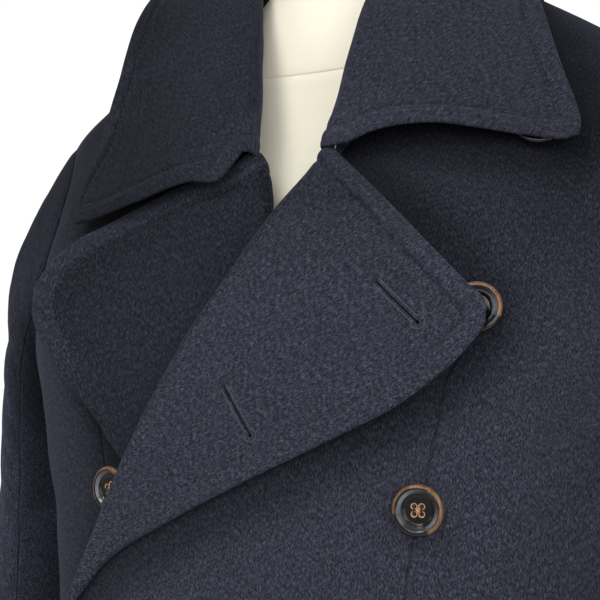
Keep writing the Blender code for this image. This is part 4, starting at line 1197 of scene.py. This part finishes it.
def sleeve_piece(name, first, last, right):
    """Part of a sleeve between two turns round the arm, in degrees."""
    gap = math.degrees(SEAM_GAP / 2 / ARMHOLE_HALF_DEPTH)
    width = math.radians(last - first) * ARMHOLE_HALF_DEPTH
    turn = np.radians(first + gap + (last - first - 2 * gap) * spread_marks(width, 0.0058, 1, 1))
    share = spread_marks(SLEEVE_LENGTH, 0.0062, 1, 1) ** 1.12
    outer = sleeve_grid(turn, share)
    normal = surface_normals(outer)
    outward = np.sum(normal * (outer - outer.mean(axis=(0, 1)))) > 0
    normal = normal if outward else -normal
    round_arm = turn[None, :] * ARMHOLE_HALF_DEPTH
    along = share[:, None] * SLEEVE_LENGTH
    degree = ARMHOLE_HALF_DEPTH * math.pi / 180
    table = RIGHT_SLEEVE_CREASES if right else LEFT_SLEEVE_CREASES
    table = [(s0 * degree, t0, s1 * degree, *rest) for s0, t0, s1, *rest in table]
    lift = creases(table, round_arm, along) + rumple(round_arm + 0.3 * right, along)
    lift = lift * step(0.0, 0.05, share)[:, None]
    outer = outer + lift[..., None] * normal
    inner = outer - CLOTH * normal
    uv = np.stack([arc(outer, 1), -arc(outer, 0)], axis=-1)
    # Painted shade: the sleeve darker at its head and where it leans back
    down = (SLEEVE_HEAD_TONE + SLEEVE_RISE * step(0.10, 0.48, share))[:, None]
    tone = SLEEVE_TONE[right] * painted_lean_shade(normal[..., 2]) * down
    return shell(name, inner, outer, uv, SLEEVE_ROUNDING, mirror=right, tone=tone)


# ---------------------------------------------------------------- threads
def tube_faces(rings, segments, start=0):
    """Faces of stacked rings of points, closed at both ends."""
    faces = []
    for r in range(rings - 1):
        for s in range(segments):
            a = start + r * segments + s
            b = start + r * segments + (s + 1) % segments
            faces.append((a, b, b + segments, a + segments))
    faces.append(tuple(start + s for s in range(segments - 1, -1, -1)))
    faces.append(tuple(start + (rings - 1) * segments + s for s in range(segments)))
    return faces


def circle(segments):
    """Turns of evenly spaced points round a circle."""
    return np.arange(segments) * 2 * math.pi / segments


class Strands:
    """Many small round strands gathered into one mesh."""

    def __init__(self):
        self.points = []
        self.faces = []

    def add(self, path, radius, sides=6):
        path = np.asarray(path, float)
        along = unit(np.gradient(path, axis=0))
        guide = np.array([0.0, 0.0, 1.0]) if abs(along[0][2]) < 0.9 else np.array([1.0, 0.0, 0.0])
        across = unit(np.cross(along, guide))
        other = np.cross(along, across)
        turn = circle(sides)[None, :, None]
        size = np.full(len(path), radius)
        size[[0, -1]] = radius * 0.55
        ring = across[:, None] * np.cos(turn) + other[:, None] * np.sin(turn)
        ring = path[:, None] + ring * size[:, None, None]
        self.faces.extend(tube_faces(len(path), sides, len(self.points)))
        self.points.extend(ring.reshape(-1, 3))

    def make(self, name):
        return build(name, np.array(self.points), self.faces)


def resampled(path, spacing):
    """Points along a path at an even spacing."""
    lengths = np.concatenate([[0], np.cumsum(np.linalg.norm(np.diff(path, axis=0), axis=1))])
    places = np.arange(0, lengths[-1], spacing)
    return np.stack([np.interp(places, lengths, path[:, k]) for k in range(3)], axis=-1)


def stitches(strands, path, length, gap, radius, sink):
    """Short stitches one after another along a path on the cloth."""
    fine = resampled(path, 0.0005)
    per = int((length + gap) / 0.0005)
    used = int(length / 0.0005)
    for start in range(0, len(fine) - used, per):
        piece = fine[start : start + used + 1 : 2]
        bow = np.sin(np.linspace(0, math.pi, len(piece)))[:, None]
        strands.add(piece + sink * (1 - bow), radius, 5)


def ray_tree(piece):
    """Ray target of one object."""
    points = [v.co.copy() for v in piece.data.vertices]
    return BVHTree.FromPolygons(points, [list(p.vertices) for p in piece.data.polygons])


def sewn(name, paths, radius, finish, sides=6):
    """Strands along some paths, in one finish."""
    strands = Strands()
    for path in paths:
        strands.add(path, radius, sides)
    made = strands.make(name)
    made.data.materials.append(material(finish))
    return made


def on_front(x, height, lift):
    """Point over the coat's front at x and height, and the outward normal there."""
    x, height = np.array([x]), np.array([height])
    angle = front_angle(x, height)
    point = body(angle, height, np.array([lift]))[0] + (0, WHOLE_SHIFT_Y, 0)
    return point, body_normal(angle, height)[0]


def on_cloth(tree, x, height):
    """Point on the outermost cloth at x and height of the front, and the way out of the body."""
    place, away = on_front(x, height, 0.09)
    hit = tree.ray_cast(Vector(place), -Vector(away))[0]
    return np.array(hit), away


def buttonhole(name, tree, hole):
    """Keyhole buttonhole: a cord line round it, a bar of thread at its start, and its dark inside,
    near-black strands of painted shade.
    """
    (x0, z0), (x1, z1) = hole
    length = math.hypot(x1 - x0, z1 - z0)
    ex, ez = (x1 - x0) / length, (z1 - z0) / length

    def place(along, side, lift):
        point, away = on_cloth(tree, x0 + along * ex - side * ez, z0 + along * ez + side * ex)
        return point + lift * away

    eyelet = length - EYELET_BACK
    rows = np.linspace(0.0010, length - CORD_BACK, 22)
    turn = np.radians(np.linspace(-138, 138, 21))
    eye = [(eyelet + EYELET_RADIUS * math.cos(t), EYELET_RADIUS * math.sin(t)) for t in turn]
    loop = [(a, -CORD_HALF) for a in rows] + eye + [(a, CORD_HALF) for a in rows[::-1]]
    cord = [place(a, s, 0.00024) for a, s in loop]
    across = np.linspace(-0.0033, 0.0033, 7)
    bar = [[place(0.0002 + 0.0006 * k, s, 0.00040) for s in across] for k in range(3)]
    # Near-black strands along the slit and at the eyelet: painted shade for the dark gap
    slit = Strands()
    slit.add([place(a, 0, 0.00006) for a in np.linspace(0.0008, eyelet, 20)], 0.00036, 6)
    slit.add([place(eyelet - 0.0009 + 0.0009 * k, 0, 0.0) for k in range(3)], 0.00095, 8)
    pieces = [
        sewn(name + "_cord", [cord], CORD_RADIUS, "cord_thread"),
        sewn(name + "_bar", bar, CORD_RADIUS, "worked_thread"),
        slit.make(name + "_slit"),
    ]
    pieces[-1].data.materials.append(material("slit_shade"))
    return pieces


# ---------------------------------------------------------------- buttons
def button_parts():
    """Button mesh, its underside at its origin, facing +Z, with its rind, tan and painted highlight by
    point.
    """
    profile = np.array(BUTTON_PROFILE)
    rings = []
    for (r0, h0), (r1, h1) in zip(profile[:-1], profile[1:]):
        steps = max(1, int(round(math.hypot(r1 - r0, h1 - h0) / PROFILE_STEP)))
        if r0 <= FACE_RADIUS and h0 > 0:
            steps = FACE_STEPS
        for k in range(steps):
            rings.append((r0 + (r1 - r0) * k / steps, h0 + (h1 - h0) * k / steps))
    rings = np.array(rings[1:] + [(0.0001, profile[-1][1])])
    turn = circle(BUTTON_SEGMENTS)
    radius = rings[:, 0, None] * np.ones(BUTTON_SEGMENTS)
    x, y = radius * np.cos(turn), radius * np.sin(turn)
    z = rings[:, 1, None] * np.ones(BUTTON_SEGMENTS)
    top = (np.arange(len(rings)) > np.argmax(rings[:, 1]))[:, None]
    # The four holes lie alike in each quarter
    nearest = np.hypot(np.abs(x) - HOLE_OFFSET, np.abs(y) - HOLE_OFFSET)
    z = z - HOLE_DEPTH * (1 - step(HOLE_RADIUS - 0.0002, HOLE_RADIUS + 0.00012, nearest)) * top
    rim = step(HOLE_RADIUS - 0.0001, HOLE_RADIUS + 0.0001, nearest)
    rim = rim * (1 - step(HOLE_RADIUS + 0.00050, HOLE_RADIUS + 0.00080, nearest))
    bridge = 1 - step(0.0013, 0.0018, np.abs(x) * 1.25 + np.abs(y))
    tan = np.maximum(rim, bridge) * top
    degrees = np.degrees(np.arctan2(y, x))
    swing = np.where(degrees < RIND_START, degrees + 360, degrees)
    ends = step(RIND_START - 2, RIND_START + 6, swing) * (1 - step(RIND_END - 6, RIND_END + 2, swing))
    wave = 0.0002 * np.sin(3 * np.radians(degrees) + 0.6) + 0.00012 * np.sin(7 * np.radians(degrees))
    inner = np.where(swing > 60, RIND_RADII[1], RIND_RADII[0]) + wave
    band = step(inner - 0.0002, inner + 0.0002, radius) * step(0.0020, 0.0027, z)
    rind = ends * band * step(0.0011, 0.0018, z)
    points = np.stack([x, y, z], axis=-1).reshape(-1, 3)
    mesh = bpy.data.meshes.new("button")
    mesh.from_pydata(points.tolist(), [], tube_faces(len(rings), BUTTON_SEGMENTS))
    mesh.shade_smooth()
    # Painted highlight: a pale band on the slope inside the rim, brightest in two directions
    slope = step(0.0094, 0.0100, radius) * (1 - step(0.0112, 0.0118, radius)) * top
    glint_paint = sum(share * bell(swing - at, width) for at, width, share in PAINTED_GLINTS)
    painted_glint = slope * (0.10 + 0.90 * glint_paint) * (1 - rind)
    for label, values in (("rind", rind), ("tan", tan), ("painted_glint", painted_glint)):
        layer = mesh.attributes.new(label, "FLOAT", "POINT")
        layer.data.foreach_set("value", np.asarray(values, np.float32).ravel())
    return mesh


def button_thread():
    """Two bars of thread, each from one hole of the button to the one above it."""
    paths = []
    for sx in (-1, 1):
        for k in (-1.5, -0.5, 0.5, 1.5):
            lift = 0.00030 * (1 - abs(k) / 2)
            path = []
            for t in np.linspace(0, math.pi, 11):
                x = sx * HOLE_OFFSET + k * BUTTON_THREAD_RADIUS * (0.6 + 0.4 * math.sin(t))
                path.append((x, -0.0027 * math.cos(t), 0.0010 + 0.0017 * math.sin(t) ** 0.6 + lift))
            paths.append(path)
    return sewn("button_thread", paths, BUTTON_THREAD_RADIUS, "button_thread")


def set_on_coat(x, height, lift):
    """Matrix that stands an object on the coat's front, its own +Z along the outward normal."""
    place, normal = on_front(x, height, lift)
    level = unit(np.cross((0.0, 0.0, 1.0), normal))
    matrix = np.eye(4)
    matrix[:3] = np.stack([level, np.cross(normal, level), normal, place], axis=1)
    return Matrix(matrix.tolist())


def buttons():
    """Each button with its thread, and its name."""
    mesh = button_parts()
    mesh.materials.append(material("horn"))
    bars = button_thread()
    made = []
    for row, left_x, height, right_x in BUTTON_ROWS:
        for side, x in (("left", left_x), ("right", right_x)):
            if x is None:
                continue
            over_left = side == "left" or height < LEFT_BREAK_HEIGHT
            lift = CLOTH + (float(overlap(x, height)) if over_left else 0.0) + SHANK_GAP
            matrix = set_on_coat(x, height, lift + SHANK_HEIGHT + SEAM_GAP)
            turn = BUTTON_TURNS[row - 1] + (RIGHT_BUTTON_TURN if side == "right" else 0)
            turn = Matrix.Rotation(math.radians(turn), 4, "Z")
            name = "%s_%d" % (side, row)
            button = bpy.data.objects.new("horn_button_" + name, mesh.copy())
            thread = bpy.data.objects.new("button_thread_" + name, bars.data.copy())
            for piece in (button, thread):
                bpy.context.scene.collection.objects.link(piece)
                piece.data.transform(matrix @ turn)
            made.append((button, thread, name))
    bpy.data.objects.remove(bars, do_unlink=True)
    return made


# ---------------------------------------------------------------- dress form and stand
def form_seam(angle):
    """Height of the seam between the form's neck and its body."""
    sine = np.sin(angle)
    return FORM_SEAM_HEIGHT + 0.055 * (1 - np.abs(sine)) + 0.040 * np.maximum(sine, 0) ** 2


def dress_form():
    """The form's covered torso and neck, and the stitches of its seam."""
    low, high = FORM_RINGS[0][0], FORM_RINGS[-1][0]
    close = np.geomspace(0.0004, 0.02, 14)
    near = FORM_SEAM_HEIGHT + np.concatenate([-close[::-1], [0], close])
    below = np.linspace(low, near[0], 84)[:-1]
    above = np.linspace(near[-1], high, 38)[1:]
    heights = np.concatenate([below, near, above])
    turn = circle(FORM_SEGMENTS)
    rings = []
    for height in heights:
        off = height - FORM_SEAM_HEIGHT
        bend = bell(off, 0.08) * (1 - step(1.56, high, height))
        level = height + bend * (form_seam(turn) - FORM_SEAM_HEIGHT)
        x, y = ring_point(FORM_RINGS, turn, level)
        sunk = 0.0011 * bell(off, 0.0009) + 0.0005 * bell(off, 0.004)
        puff = 0.0005 * bell(off + 0.006, 0.004)
        radial = unit(np.stack([x, y, 0 * x], axis=-1))
        rings.append(np.stack([x, y, level], axis=-1) + radial * (puff - sunk))
    faces = tube_faces(len(rings), FORM_SEGMENTS)
    torso = build("form_cover", np.concatenate(rings) + (0, WHOLE_SHIFT_Y, 0), faces)
    seam = Strands()
    turn = np.linspace(0, 2 * math.pi, 361)
    level = form_seam(turn)
    x, y = ring_point(FORM_RINGS, turn, level)
    path = np.stack([x, y + WHOLE_SHIFT_Y, level], axis=-1)
    stitches(seam, path + (0, 0, -0.0022), 0.0022, 0.0012, 0.00022, np.zeros(3))
    return torso, seam.make("form_stitches")


# ---------------------------------------------------------------- materials
class Finish:
    """A material whose nodes are added one after another."""

    def __init__(self, name, colour, roughness, **settings):
        self.made = bpy.data.materials.new(name)
        self.made.use_nodes = True
        self.tree = self.made.node_tree
        self.shader = self.tree.nodes["Principled BSDF"]
        self.shader.inputs["Base Color"].default_value = (*colour, 1)
        self.shader.inputs["Roughness"].default_value = roughness
        for label, value in settings.items():
            self.shader.inputs[label.replace("_", " ")].default_value = value
        self.made.diffuse_color = (*colour, 1)

    def put(self, socket, value):
        """Links a socket's value, or sets a constant."""
        if isinstance(value, bpy.types.NodeSocket):
            self.tree.links.new(value, socket)
        elif hasattr(socket, "default_value"):
            socket.default_value = value

    def node(self, kind, values=(), **settings):
        made = self.tree.nodes.new("ShaderNode" + kind)
        for label, value in settings.items():
            setattr(made, label, value)
        for place, value in dict(values).items():
            self.put(made.inputs[place], value)
        return made

    def maths(self, operation, *values):
        return self.node("Math", enumerate(values), operation=operation).outputs[0]

    def rise(self, value, low, high, top=1.0):
        """Smooth rise from 0 at low to top at high."""
        values = (value, low, high, 0.0, top)
        made = self.node("MapRange", enumerate(values), interpolation_type="SMOOTHSTEP")
        return made.outputs[0]

    def mix(self, share, a, b, blend="MIX"):
        """Mix of two colours, each an output or three numbers."""
        a, b = ((*c, 1) if isinstance(c, tuple) else c for c in (a, b))
        made = self.node("Mix", {0: share, 6: a, 7: b}, data_type="RGBA", blend_type=blend)
        return made.outputs[2]

    def painted(self, name):
        """Value of one of the mesh's own attributes."""
        return self.node("Attribute", attribute_name=name).outputs["Fac"]

    def noise(self, where, size, turn, detail, roughness, seed):
        """Noise with features of that size in metres, turned by degrees. Two sizes make it flat."""
        flat = len(size) == 2
        placed = {
            "Vector": where,
            "Location": (seed, seed * 0.7, 0),
            "Rotation": (0, 0, math.radians(turn)),
            "Scale": (*size, 1) if flat else size,
        }
        values = {
            "Vector": self.node("Mapping", placed, vector_type="TEXTURE").outputs[0],
            "Scale": 1.0,
            "Detail": detail,
            "Roughness": roughness,
        }
        made = self.node("TexNoise", values, noise_dimensions="2D" if flat else "3D")
        return made.outputs["Fac"]

    def grain(self, size, detail, roughness, seed):
        """Noise through the solid, in the object's own metres. One size makes it even."""
        size = size if isinstance(size, tuple) else (size,) * 3
        where = self.node("TexCoord").outputs["Object"]
        return self.noise(where, size, 0, detail, roughness, seed)

    def bump(self, height, distance, strength=1.0):
        made = self.node("Bump", {"Strength": strength, "Distance": distance, "Height": height})
        self.put(self.shader.inputs["Normal"], made.outputs[0])

    def colour(self, value):
        self.put(self.shader.inputs["Base Color"], value)


def wool():
    """Heavy napped melton in a navy melange: short pale hairs down the cloth over a mottled ground."""
    f = Finish(
        "navy_melton",
        (0.033, 0.035, 0.050),
        0.95,
        Sheen_Weight=0.07,
        Sheen_Roughness=0.40,
        Sheen_Tint=(0.60, 0.66, 0.90, 1),
        Specular_IOR_Level=0.08,
    )
    where = f.node("UVMap", uv_map="cloth").outputs[0]
    ground = f.noise(where, (0.0016, 0.0034), 0, 3.0, 0.55, 3.1)
    patch = f.noise(where, (0.019, 0.031), 12, 3.0, 0.55, 1.7)
    clump = f.noise(where, (0.0022, 0.0042), -20, 3.0, 0.60, 5.3)
    tint = f.noise(where, (0.0028, 0.0052), 25, 3.0, 0.60, 8.3)
    hairs = [
        f.rise(f.noise(where, size, turn, 2.0, 0.55, seed), low, high)
        for size, turn, seed, low, high in (
            ((0.00024, 0.0036), 8, 0.3, 0.56, 0.68),
            ((0.00023, 0.0028), -16, 2.2, 0.57, 0.69),
            ((0.00025, 0.0038), 28, 4.9, 0.59, 0.70),
            ((0.00027, 0.0036), -40, 7.4, 0.64, 0.71),
        )
    ]
    fine = f.noise(where, (0.00036, 0.00100), 0, 3.0, 0.7, 9.2)
    colour = f.mix(f.rise(ground, 0.34, 0.66), (0.0225, 0.0243, 0.0380), (0.0275, 0.0297, 0.0462))
    colour = f.mix(f.rise(tint, 0.42, 0.62, 0.24), colour, (0.0310, 0.0275, 0.0380))
    colour = f.mix(f.rise(fine, 0.32, 0.66, 0.60), colour, (0.0085, 0.0098, 0.0185))
    thick = f.rise(clump, 0.32, 0.66)
    for share, pale, hair in zip((0.95, 0.88, 0.78, 0.95), (0.165, 0.148, 0.160, 0.250), hairs):
        amount = f.maths("MULTIPLY_ADD", thick, share * 0.40, share * 0.60)
        colour = f.mix(f.maths("MULTIPLY", hair, amount), colour, (pale, pale * 1.06, pale * 1.46))
    darker = f.mix(1.0, colour, (0.72, 0.73, 0.76), "MULTIPLY")
    colour = f.mix(f.rise(patch, 0.30, 0.70, 0.16), colour, darker)
    # The mesh's tone carries the painted light and shade laid on each piece
    lightness = f.maths("MULTIPLY", f.painted("tone"), CLOTH_LIGHTNESS)
    f.colour(f.node("VectorMath", {0: colour, 3: lightness}, operation="SCALE").outputs[0])
    height = f.maths("MULTIPLY", hairs[0], 0.55)
    for share, part in ((0.45, hairs[1]), (0.35, hairs[2]), (0.45, fine), (0.15, ground)):
        height = f.maths("ADD", height, f.maths("MULTIPLY", part, share))
    f.bump(height, 0.00034, 0.50)
    return f.made


def linen():
    """Cream cover of the form: a fine plain weave with slubs."""
    f = Finish("cream_linen", (0.78, 0.735, 0.60), 0.93, Sheen_Weight=0.05, Specular_IOR_Level=0.15)
    slub = f.grain((0.02, 0.02, 0.0012), 3, 0.6, 1.1)
    warp = f.grain((0.0008, 0.0008, 0.02), 3, 0.6, 2.1)
    stain = f.grain((0.06, 0.06, 0.08), 3, 0.5, 3.3)
    colour = f.mix(f.rise(slub, 0.35, 0.65, 0.30), (0.850, 0.800, 0.665), (0.800, 0.750, 0.610))
    f.colour(f.mix(f.rise(stain, 0.35, 0.70, 0.25), colour, (0.750, 0.700, 0.550)))
    f.bump(f.maths("ADD", slub, warp), 0.00012, 0.5)
    return f.made


def slit_shade():
    """Painted shade: the dark inside of a slit or eyelet cut through the wool."""
    f = Finish("slit_shade", (0.001, 0.001, 0.0015), 1.0, Specular_IOR_Level=0.0)
    grain = f.grain((0.0004, 0.0004, 0.0010), 3, 0.6, 0.9)
    f.colour(f.mix(f.rise(grain, 0.40, 0.65), (0.0008, 0.0008, 0.0012), (0.0050, 0.0050, 0.0080)))
    f.bump(grain, 0.0001, 0.6)
    return f.made


def horn():
    """Polished dark horn with a pale rust rind round part of the rim, tan where the holes are cut, and a
    painted highlight on the slope inside the rim.
    """
    colour = (0.010, 0.008, 0.008)
    f = Finish("dark_horn", colour, 0.22, Coat_Weight=0.45, Coat_Roughness=0.07, Specular_IOR_Level=0.20)
    streak = f.grain((0.0016, 0.0016, 0.0060), 4, 0.6, 0.4)
    grain = f.grain((0.0005, 0.0005, 0.0022), 3, 0.6, 1.9)
    rind = f.painted("rind")
    dark = f.mix(f.rise(streak, 0.46, 0.74, 0.5), (0.0045, 0.0040, 0.0042), (0.022, 0.019, 0.019))
    # Painted highlight: pale grey where the slope inside the rim would catch the lamps
    dark = f.mix(f.painted("painted_glint"), dark, (0.150, 0.162, 0.180))
    rust = f.mix(f.rise(streak, 0.40, 0.64), (0.125, 0.046, 0.020), (0.180, 0.104, 0.050))
    rust = f.mix(f.rise(grain, 0.45, 0.70, 0.55), rust, (0.105, 0.040, 0.020))
    cut = f.mix(f.rise(grain, 0.35, 0.65), (0.42, 0.185, 0.085), (0.56, 0.33, 0.17))
    f.colour(f.mix(f.painted("tan"), f.mix(rind, dark, rust), cut))
    uneven = f.maths("ADD", rind, f.maths("MULTIPLY", grain, 0.4))
    f.put(f.shader.inputs["Roughness"], f.maths("ADD", f.rise(uneven, 0.0, 1.4, 0.35), 0.12))
    f.bump(grain, 0.00005, 0.3)
    return f.made


def plain_thread(name, colour, other):
    """Twisted thread."""
    f = Finish(name, colour, 0.75, Sheen_Weight=0.2, Specular_IOR_Level=0.25)
    twist = f.grain(0.0004, 2, 0.5, 0.9)
    f.colour(f.mix(f.rise(twist, 0.35, 0.65), colour, other))
    f.bump(twist, 0.00008, 0.6)
    return f.made


def wood():
    """Varnished beech cap."""
    f = Finish("beech", (0.42, 0.26, 0.14), 0.35, Coat_Weight=0.3, Coat_Roughness=0.15)
    ring = f.grain((0.004, 0.060, 0.004), 4, 0.6, 0.9)
    fleck = f.grain((0.0008, 0.006, 0.0008), 2, 0.6, 4.9)
    colour = f.mix(f.rise(ring, 0.35, 0.65), (0.46, 0.285, 0.150), (0.33, 0.185, 0.090))
    f.colour(f.mix(f.rise(fleck, 0.55, 0.75, 0.5), colour, (0.26, 0.140, 0.065)))
    f.bump(ring, 0.0001, 0.3)
    return f.made


def metal():
    """Dark powder-coated steel, worn a little paler on its rubbed places."""
    f = Finish("coated_steel", (0.05, 0.05, 0.055), 0.42, Metallic=0.35)
    speck = f.grain(0.0009, 2, 0.6, 0.9)
    rub = f.grain((0.05, 0.05, 0.02), 5, 0.65, 2.9)
    f.colour(f.mix(f.rise(rub, 0.55, 0.75, 0.5), (0.045, 0.045, 0.050), (0.105, 0.103, 0.100)))
    f.put(f.shader.inputs["Roughness"], f.rise(speck, 0.1, 1.0, 0.75))
    f.bump(speck, 0.00012, 0.5)
    return f.made


FINISHES = {
    "wool": wool,
    "linen": linen,
    "horn": horn,
    "wood": wood,
    "metal": metal,
    "slit_shade": slit_shade,
}
# Threads: the two colours they are twisted from
THREADS = {
    "button_thread": ((0.012, 0.010, 0.010), (0.030, 0.026, 0.026)),
    "stitch_thread": ((0.010, 0.011, 0.018), (0.020, 0.022, 0.034)),
    "cord_thread": ((0.026, 0.050, 0.064), (0.044, 0.076, 0.092)),
    "worked_thread": ((0.005, 0.006, 0.010), (0.012, 0.014, 0.022)),
    "form_thread": ((0.42, 0.375, 0.27), (0.53, 0.48, 0.37)),
}
finished = {}


def material(name):
    """The material of that name, made when it is first asked for."""
    if name not in finished:
        finished[name] = plain_thread(name, *THREADS[name]) if name in THREADS else FINISHES[name]()
    return finished[name]


def dress(part, finish):
    """Gives a part its finish in place of what it had."""
    part.data.materials.clear()
    part.data.materials.append(material(finish))


# ---------------------------------------------------------------- the whole
def wear(piece, finish, nodes=()):
    """The piece gets its finish and its body, and stands for the nodes."""
    if not piece.data.materials:
        piece.data.materials.append(material(finish))
    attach(piece, "root")
    if nodes:
        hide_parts(*nodes)
    return piece


def stitch_line(name, path):
    """Sewn line along a path on the cloth."""
    strands = Strands()
    sink = np.array([0.0, STITCH_SINK, 0.0])
    stitches(strands, path + (0, WHOLE_SHIFT_Y, 0), STITCH, STITCH_GAP, STITCH_RADIUS, sink)
    return wear(strands.make(name), "stitch_thread")


def shade_under(piece, covers):
    """Darkens the tone of a cloth close under the edges of the cloths that lie over it."""
    points = [v.co for cover in covers for v in cover.data.vertices]
    tree = KDTree(len(points))
    for k, point in enumerate(points):
        tree.insert(point, k)
    tree.balance()
    layer = piece.data.attributes["tone"].data
    tones = np.zeros(len(layer), np.float32)
    layer.foreach_get("value", tones)
    for k, vertex in enumerate(piece.data.vertices):
        if vertex.co.z > COVER_FROM:
            away = max(tree.find(vertex.co)[2] - COVER_NEAR, 0)
            tones[k] *= 1 - COVER_SHADE * bell(away, COVER_REACH)
    layer.foreach_set("value", tones)


def coat():
    """The coat's cloth pieces by name, and what is sewn on each."""
    cloth = {}
    cloth["front_left"] = front_piece("front_left_cloth", LEFT_EDGE, right=False)
    cloth["front_right"] = front_piece("front_right_cloth", RIGHT_EDGE, right=True)
    cloth["back_left"] = back_piece("back_left_cloth", right=False)
    cloth["back_right"] = back_piece("back_right_cloth", right=True)
    left_tables = (LEFT_EDGE, LEFT_LAPEL_EDGE, LEFT_LAPEL_TOP)
    right_tables = (RIGHT_EDGE, RIGHT_LAPEL_EDGE, RIGHT_LAPEL_TOP)
    lapel_left, left_path = lapel_piece("lapel_left_cloth", *left_tables, right=False)
    lapel_right, right_path = lapel_piece("lapel_right_cloth", *right_tables, right=True)
    cloth["lapel_left"] = lapel_left
    cloth["lapel_right"] = lapel_right
    cloth["collar_leaf"], cloth["collar_stand"], collar_path = collar_pieces()
    for side in ("left", "right"):
        for part, first, last in (("top", -12, 205), ("under", 205, 348)):
            node = "sleeve_%s_%s" % (part, side)
            cloth[node] = sleeve_piece(node + "_cloth", first, last, side == "right")
    shade_under(cloth["front_left"], [lapel_left, cloth["collar_leaf"]])
    shade_under(cloth["front_right"], [lapel_left, lapel_right, cloth["collar_leaf"]])
    for node, piece in cloth.items():
        wear(piece, "wool", [node])
    stitched = {
        "lapel_left": [stitch_line("lapel_left_stitches", left_path)],
        "lapel_right": [stitch_line("lapel_right_stitches", right_path)],
        "collar_leaf": [stitch_line("collar_stitches", collar_path)],
        "front_left": [],
    }
    number = 0
    for node, holes in (("lapel_left", LAPEL_HOLES), ("front_left", FRONT_HOLES)):
        tree = ray_tree(cloth[node])
        for hole in holes:
            number += 1
            pieces = buttonhole("buttonhole_%d" % number, tree, hole)
            stitched[node] += [wear(piece, "") for piece in pieces]
    for button, thread, name in buttons():
        wear(button, "horn", ["button_" + name])
        wear(thread, "button_thread")
    return cloth, stitched


def light(name, turn, rise, reach, size, power):
    """Soft square lamp that faces the chest."""
    lamp = bpy.data.lights.new(name, "AREA")
    lamp.size = size
    lamp.energy = power
    made = bpy.data.objects.new(name, lamp)
    turn, rise = math.radians(turn), math.radians(rise)
    away = Vector((math.sin(turn) * math.cos(rise), -math.cos(turn) * math.cos(rise), math.sin(rise)))
    made.location = Vector(CHEST) + reach * away
    made.rotation_euler = (-away).to_track_quat("-Z", "Y").to_euler()
    bpy.context.scene.collection.objects.link(made)


def studio():
    """Dim white room with a bright backdrop, a pale floor and soft lamps."""
    scene = bpy.context.scene
    scene.view_settings.view_transform = "Standard"
    world = bpy.data.worlds.new("studio")
    world.use_nodes = True
    tree = world.node_tree
    ground = tree.nodes["Background"]
    ground.inputs["Color"].default_value = (1.0, 1.0, 1.0, 1)
    where = tree.nodes.new("ShaderNodeTexCoord")
    facing = tree.nodes.new("ShaderNodeVectorMath")
    facing.operation = "DOT_PRODUCT"
    turn = math.radians(VIEW_TURN)
    facing.inputs[1].default_value = (-math.sin(turn), math.cos(turn), BACKDROP_RISE)
    fade = tree.nodes.new("ShaderNodeMapRange")
    fade.interpolation_type = "SMOOTHSTEP"
    for place, value in enumerate((*BACKDROP_FADE, WORLD_STRENGTH, BACKDROP_STRENGTH), 1):
        fade.inputs[place].default_value = value
    tree.links.new(where.outputs["Generated"], facing.inputs[0])
    tree.links.new(facing.outputs["Value"], fade.inputs[0])
    tree.links.new(fade.outputs[0], ground.inputs["Strength"])
    scene.world = world
    signs = ((-1, -1), (1, -1), (1, 1), (-1, 1))
    corners = [(x * FLOOR_HALF, y * FLOOR_HALF, FLOOR_HEIGHT) for x, y in signs]
    floor = build("floor", corners, [(0, 1, 2, 3)])
    pale = Finish("pale_floor", (0.80, 0.80, 0.79), 0.85)
    pale.colour(pale.mix(pale.grain(0.6, 4, 0.5, 0.2), (0.80, 0.80, 0.79), (0.84, 0.84, 0.83)))
    floor.data.materials.append(pale.made)
    for row in LIGHTS:
        light(*row)


def camera():
    """Camera that frames the chest as the photo does."""
    data = bpy.data.cameras.new("camera")
    data.sensor_width = SENSOR_WIDTH
    data.lens = SENSOR_WIDTH * FOCAL_PIXELS / FRAME_PIXELS
    data.clip_start = 0.05
    data.clip_end = 60
    made = bpy.data.objects.new("camera", data)
    bpy.context.scene.collection.objects.link(made)
    round_to, up = math.radians(VIEW_TURN), math.radians(VIEW_PITCH)
    place = math.radians(CAMERA_TURN)
    y = -CAMERA_REACH * math.cos(place) + WHOLE_SHIFT_Y
    made.location = (CAMERA_REACH * math.sin(place), y, CAMERA_HEIGHT)
    level = math.cos(up)
    look = Vector((-math.sin(round_to) * level, math.cos(round_to) * level, math.sin(up)))
    made.rotation_euler = look.to_track_quat("-Z", "Y").to_euler()
    bpy.context.scene.camera = made


cloth, stitched = coat()
torso, seam = dress_form()
wear(torso, "linen", ["form_torso"])
wear(seam, "form_thread")
for node, finish in (("form_cap", "wood"), ("stand_pole", "metal"), ("stand_base", "metal")):
    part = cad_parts[node]
    dress(part, finish)
for name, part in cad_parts.items():
    if name.startswith("thread_"):
        dress(part, "button_thread")
studio()
camera()
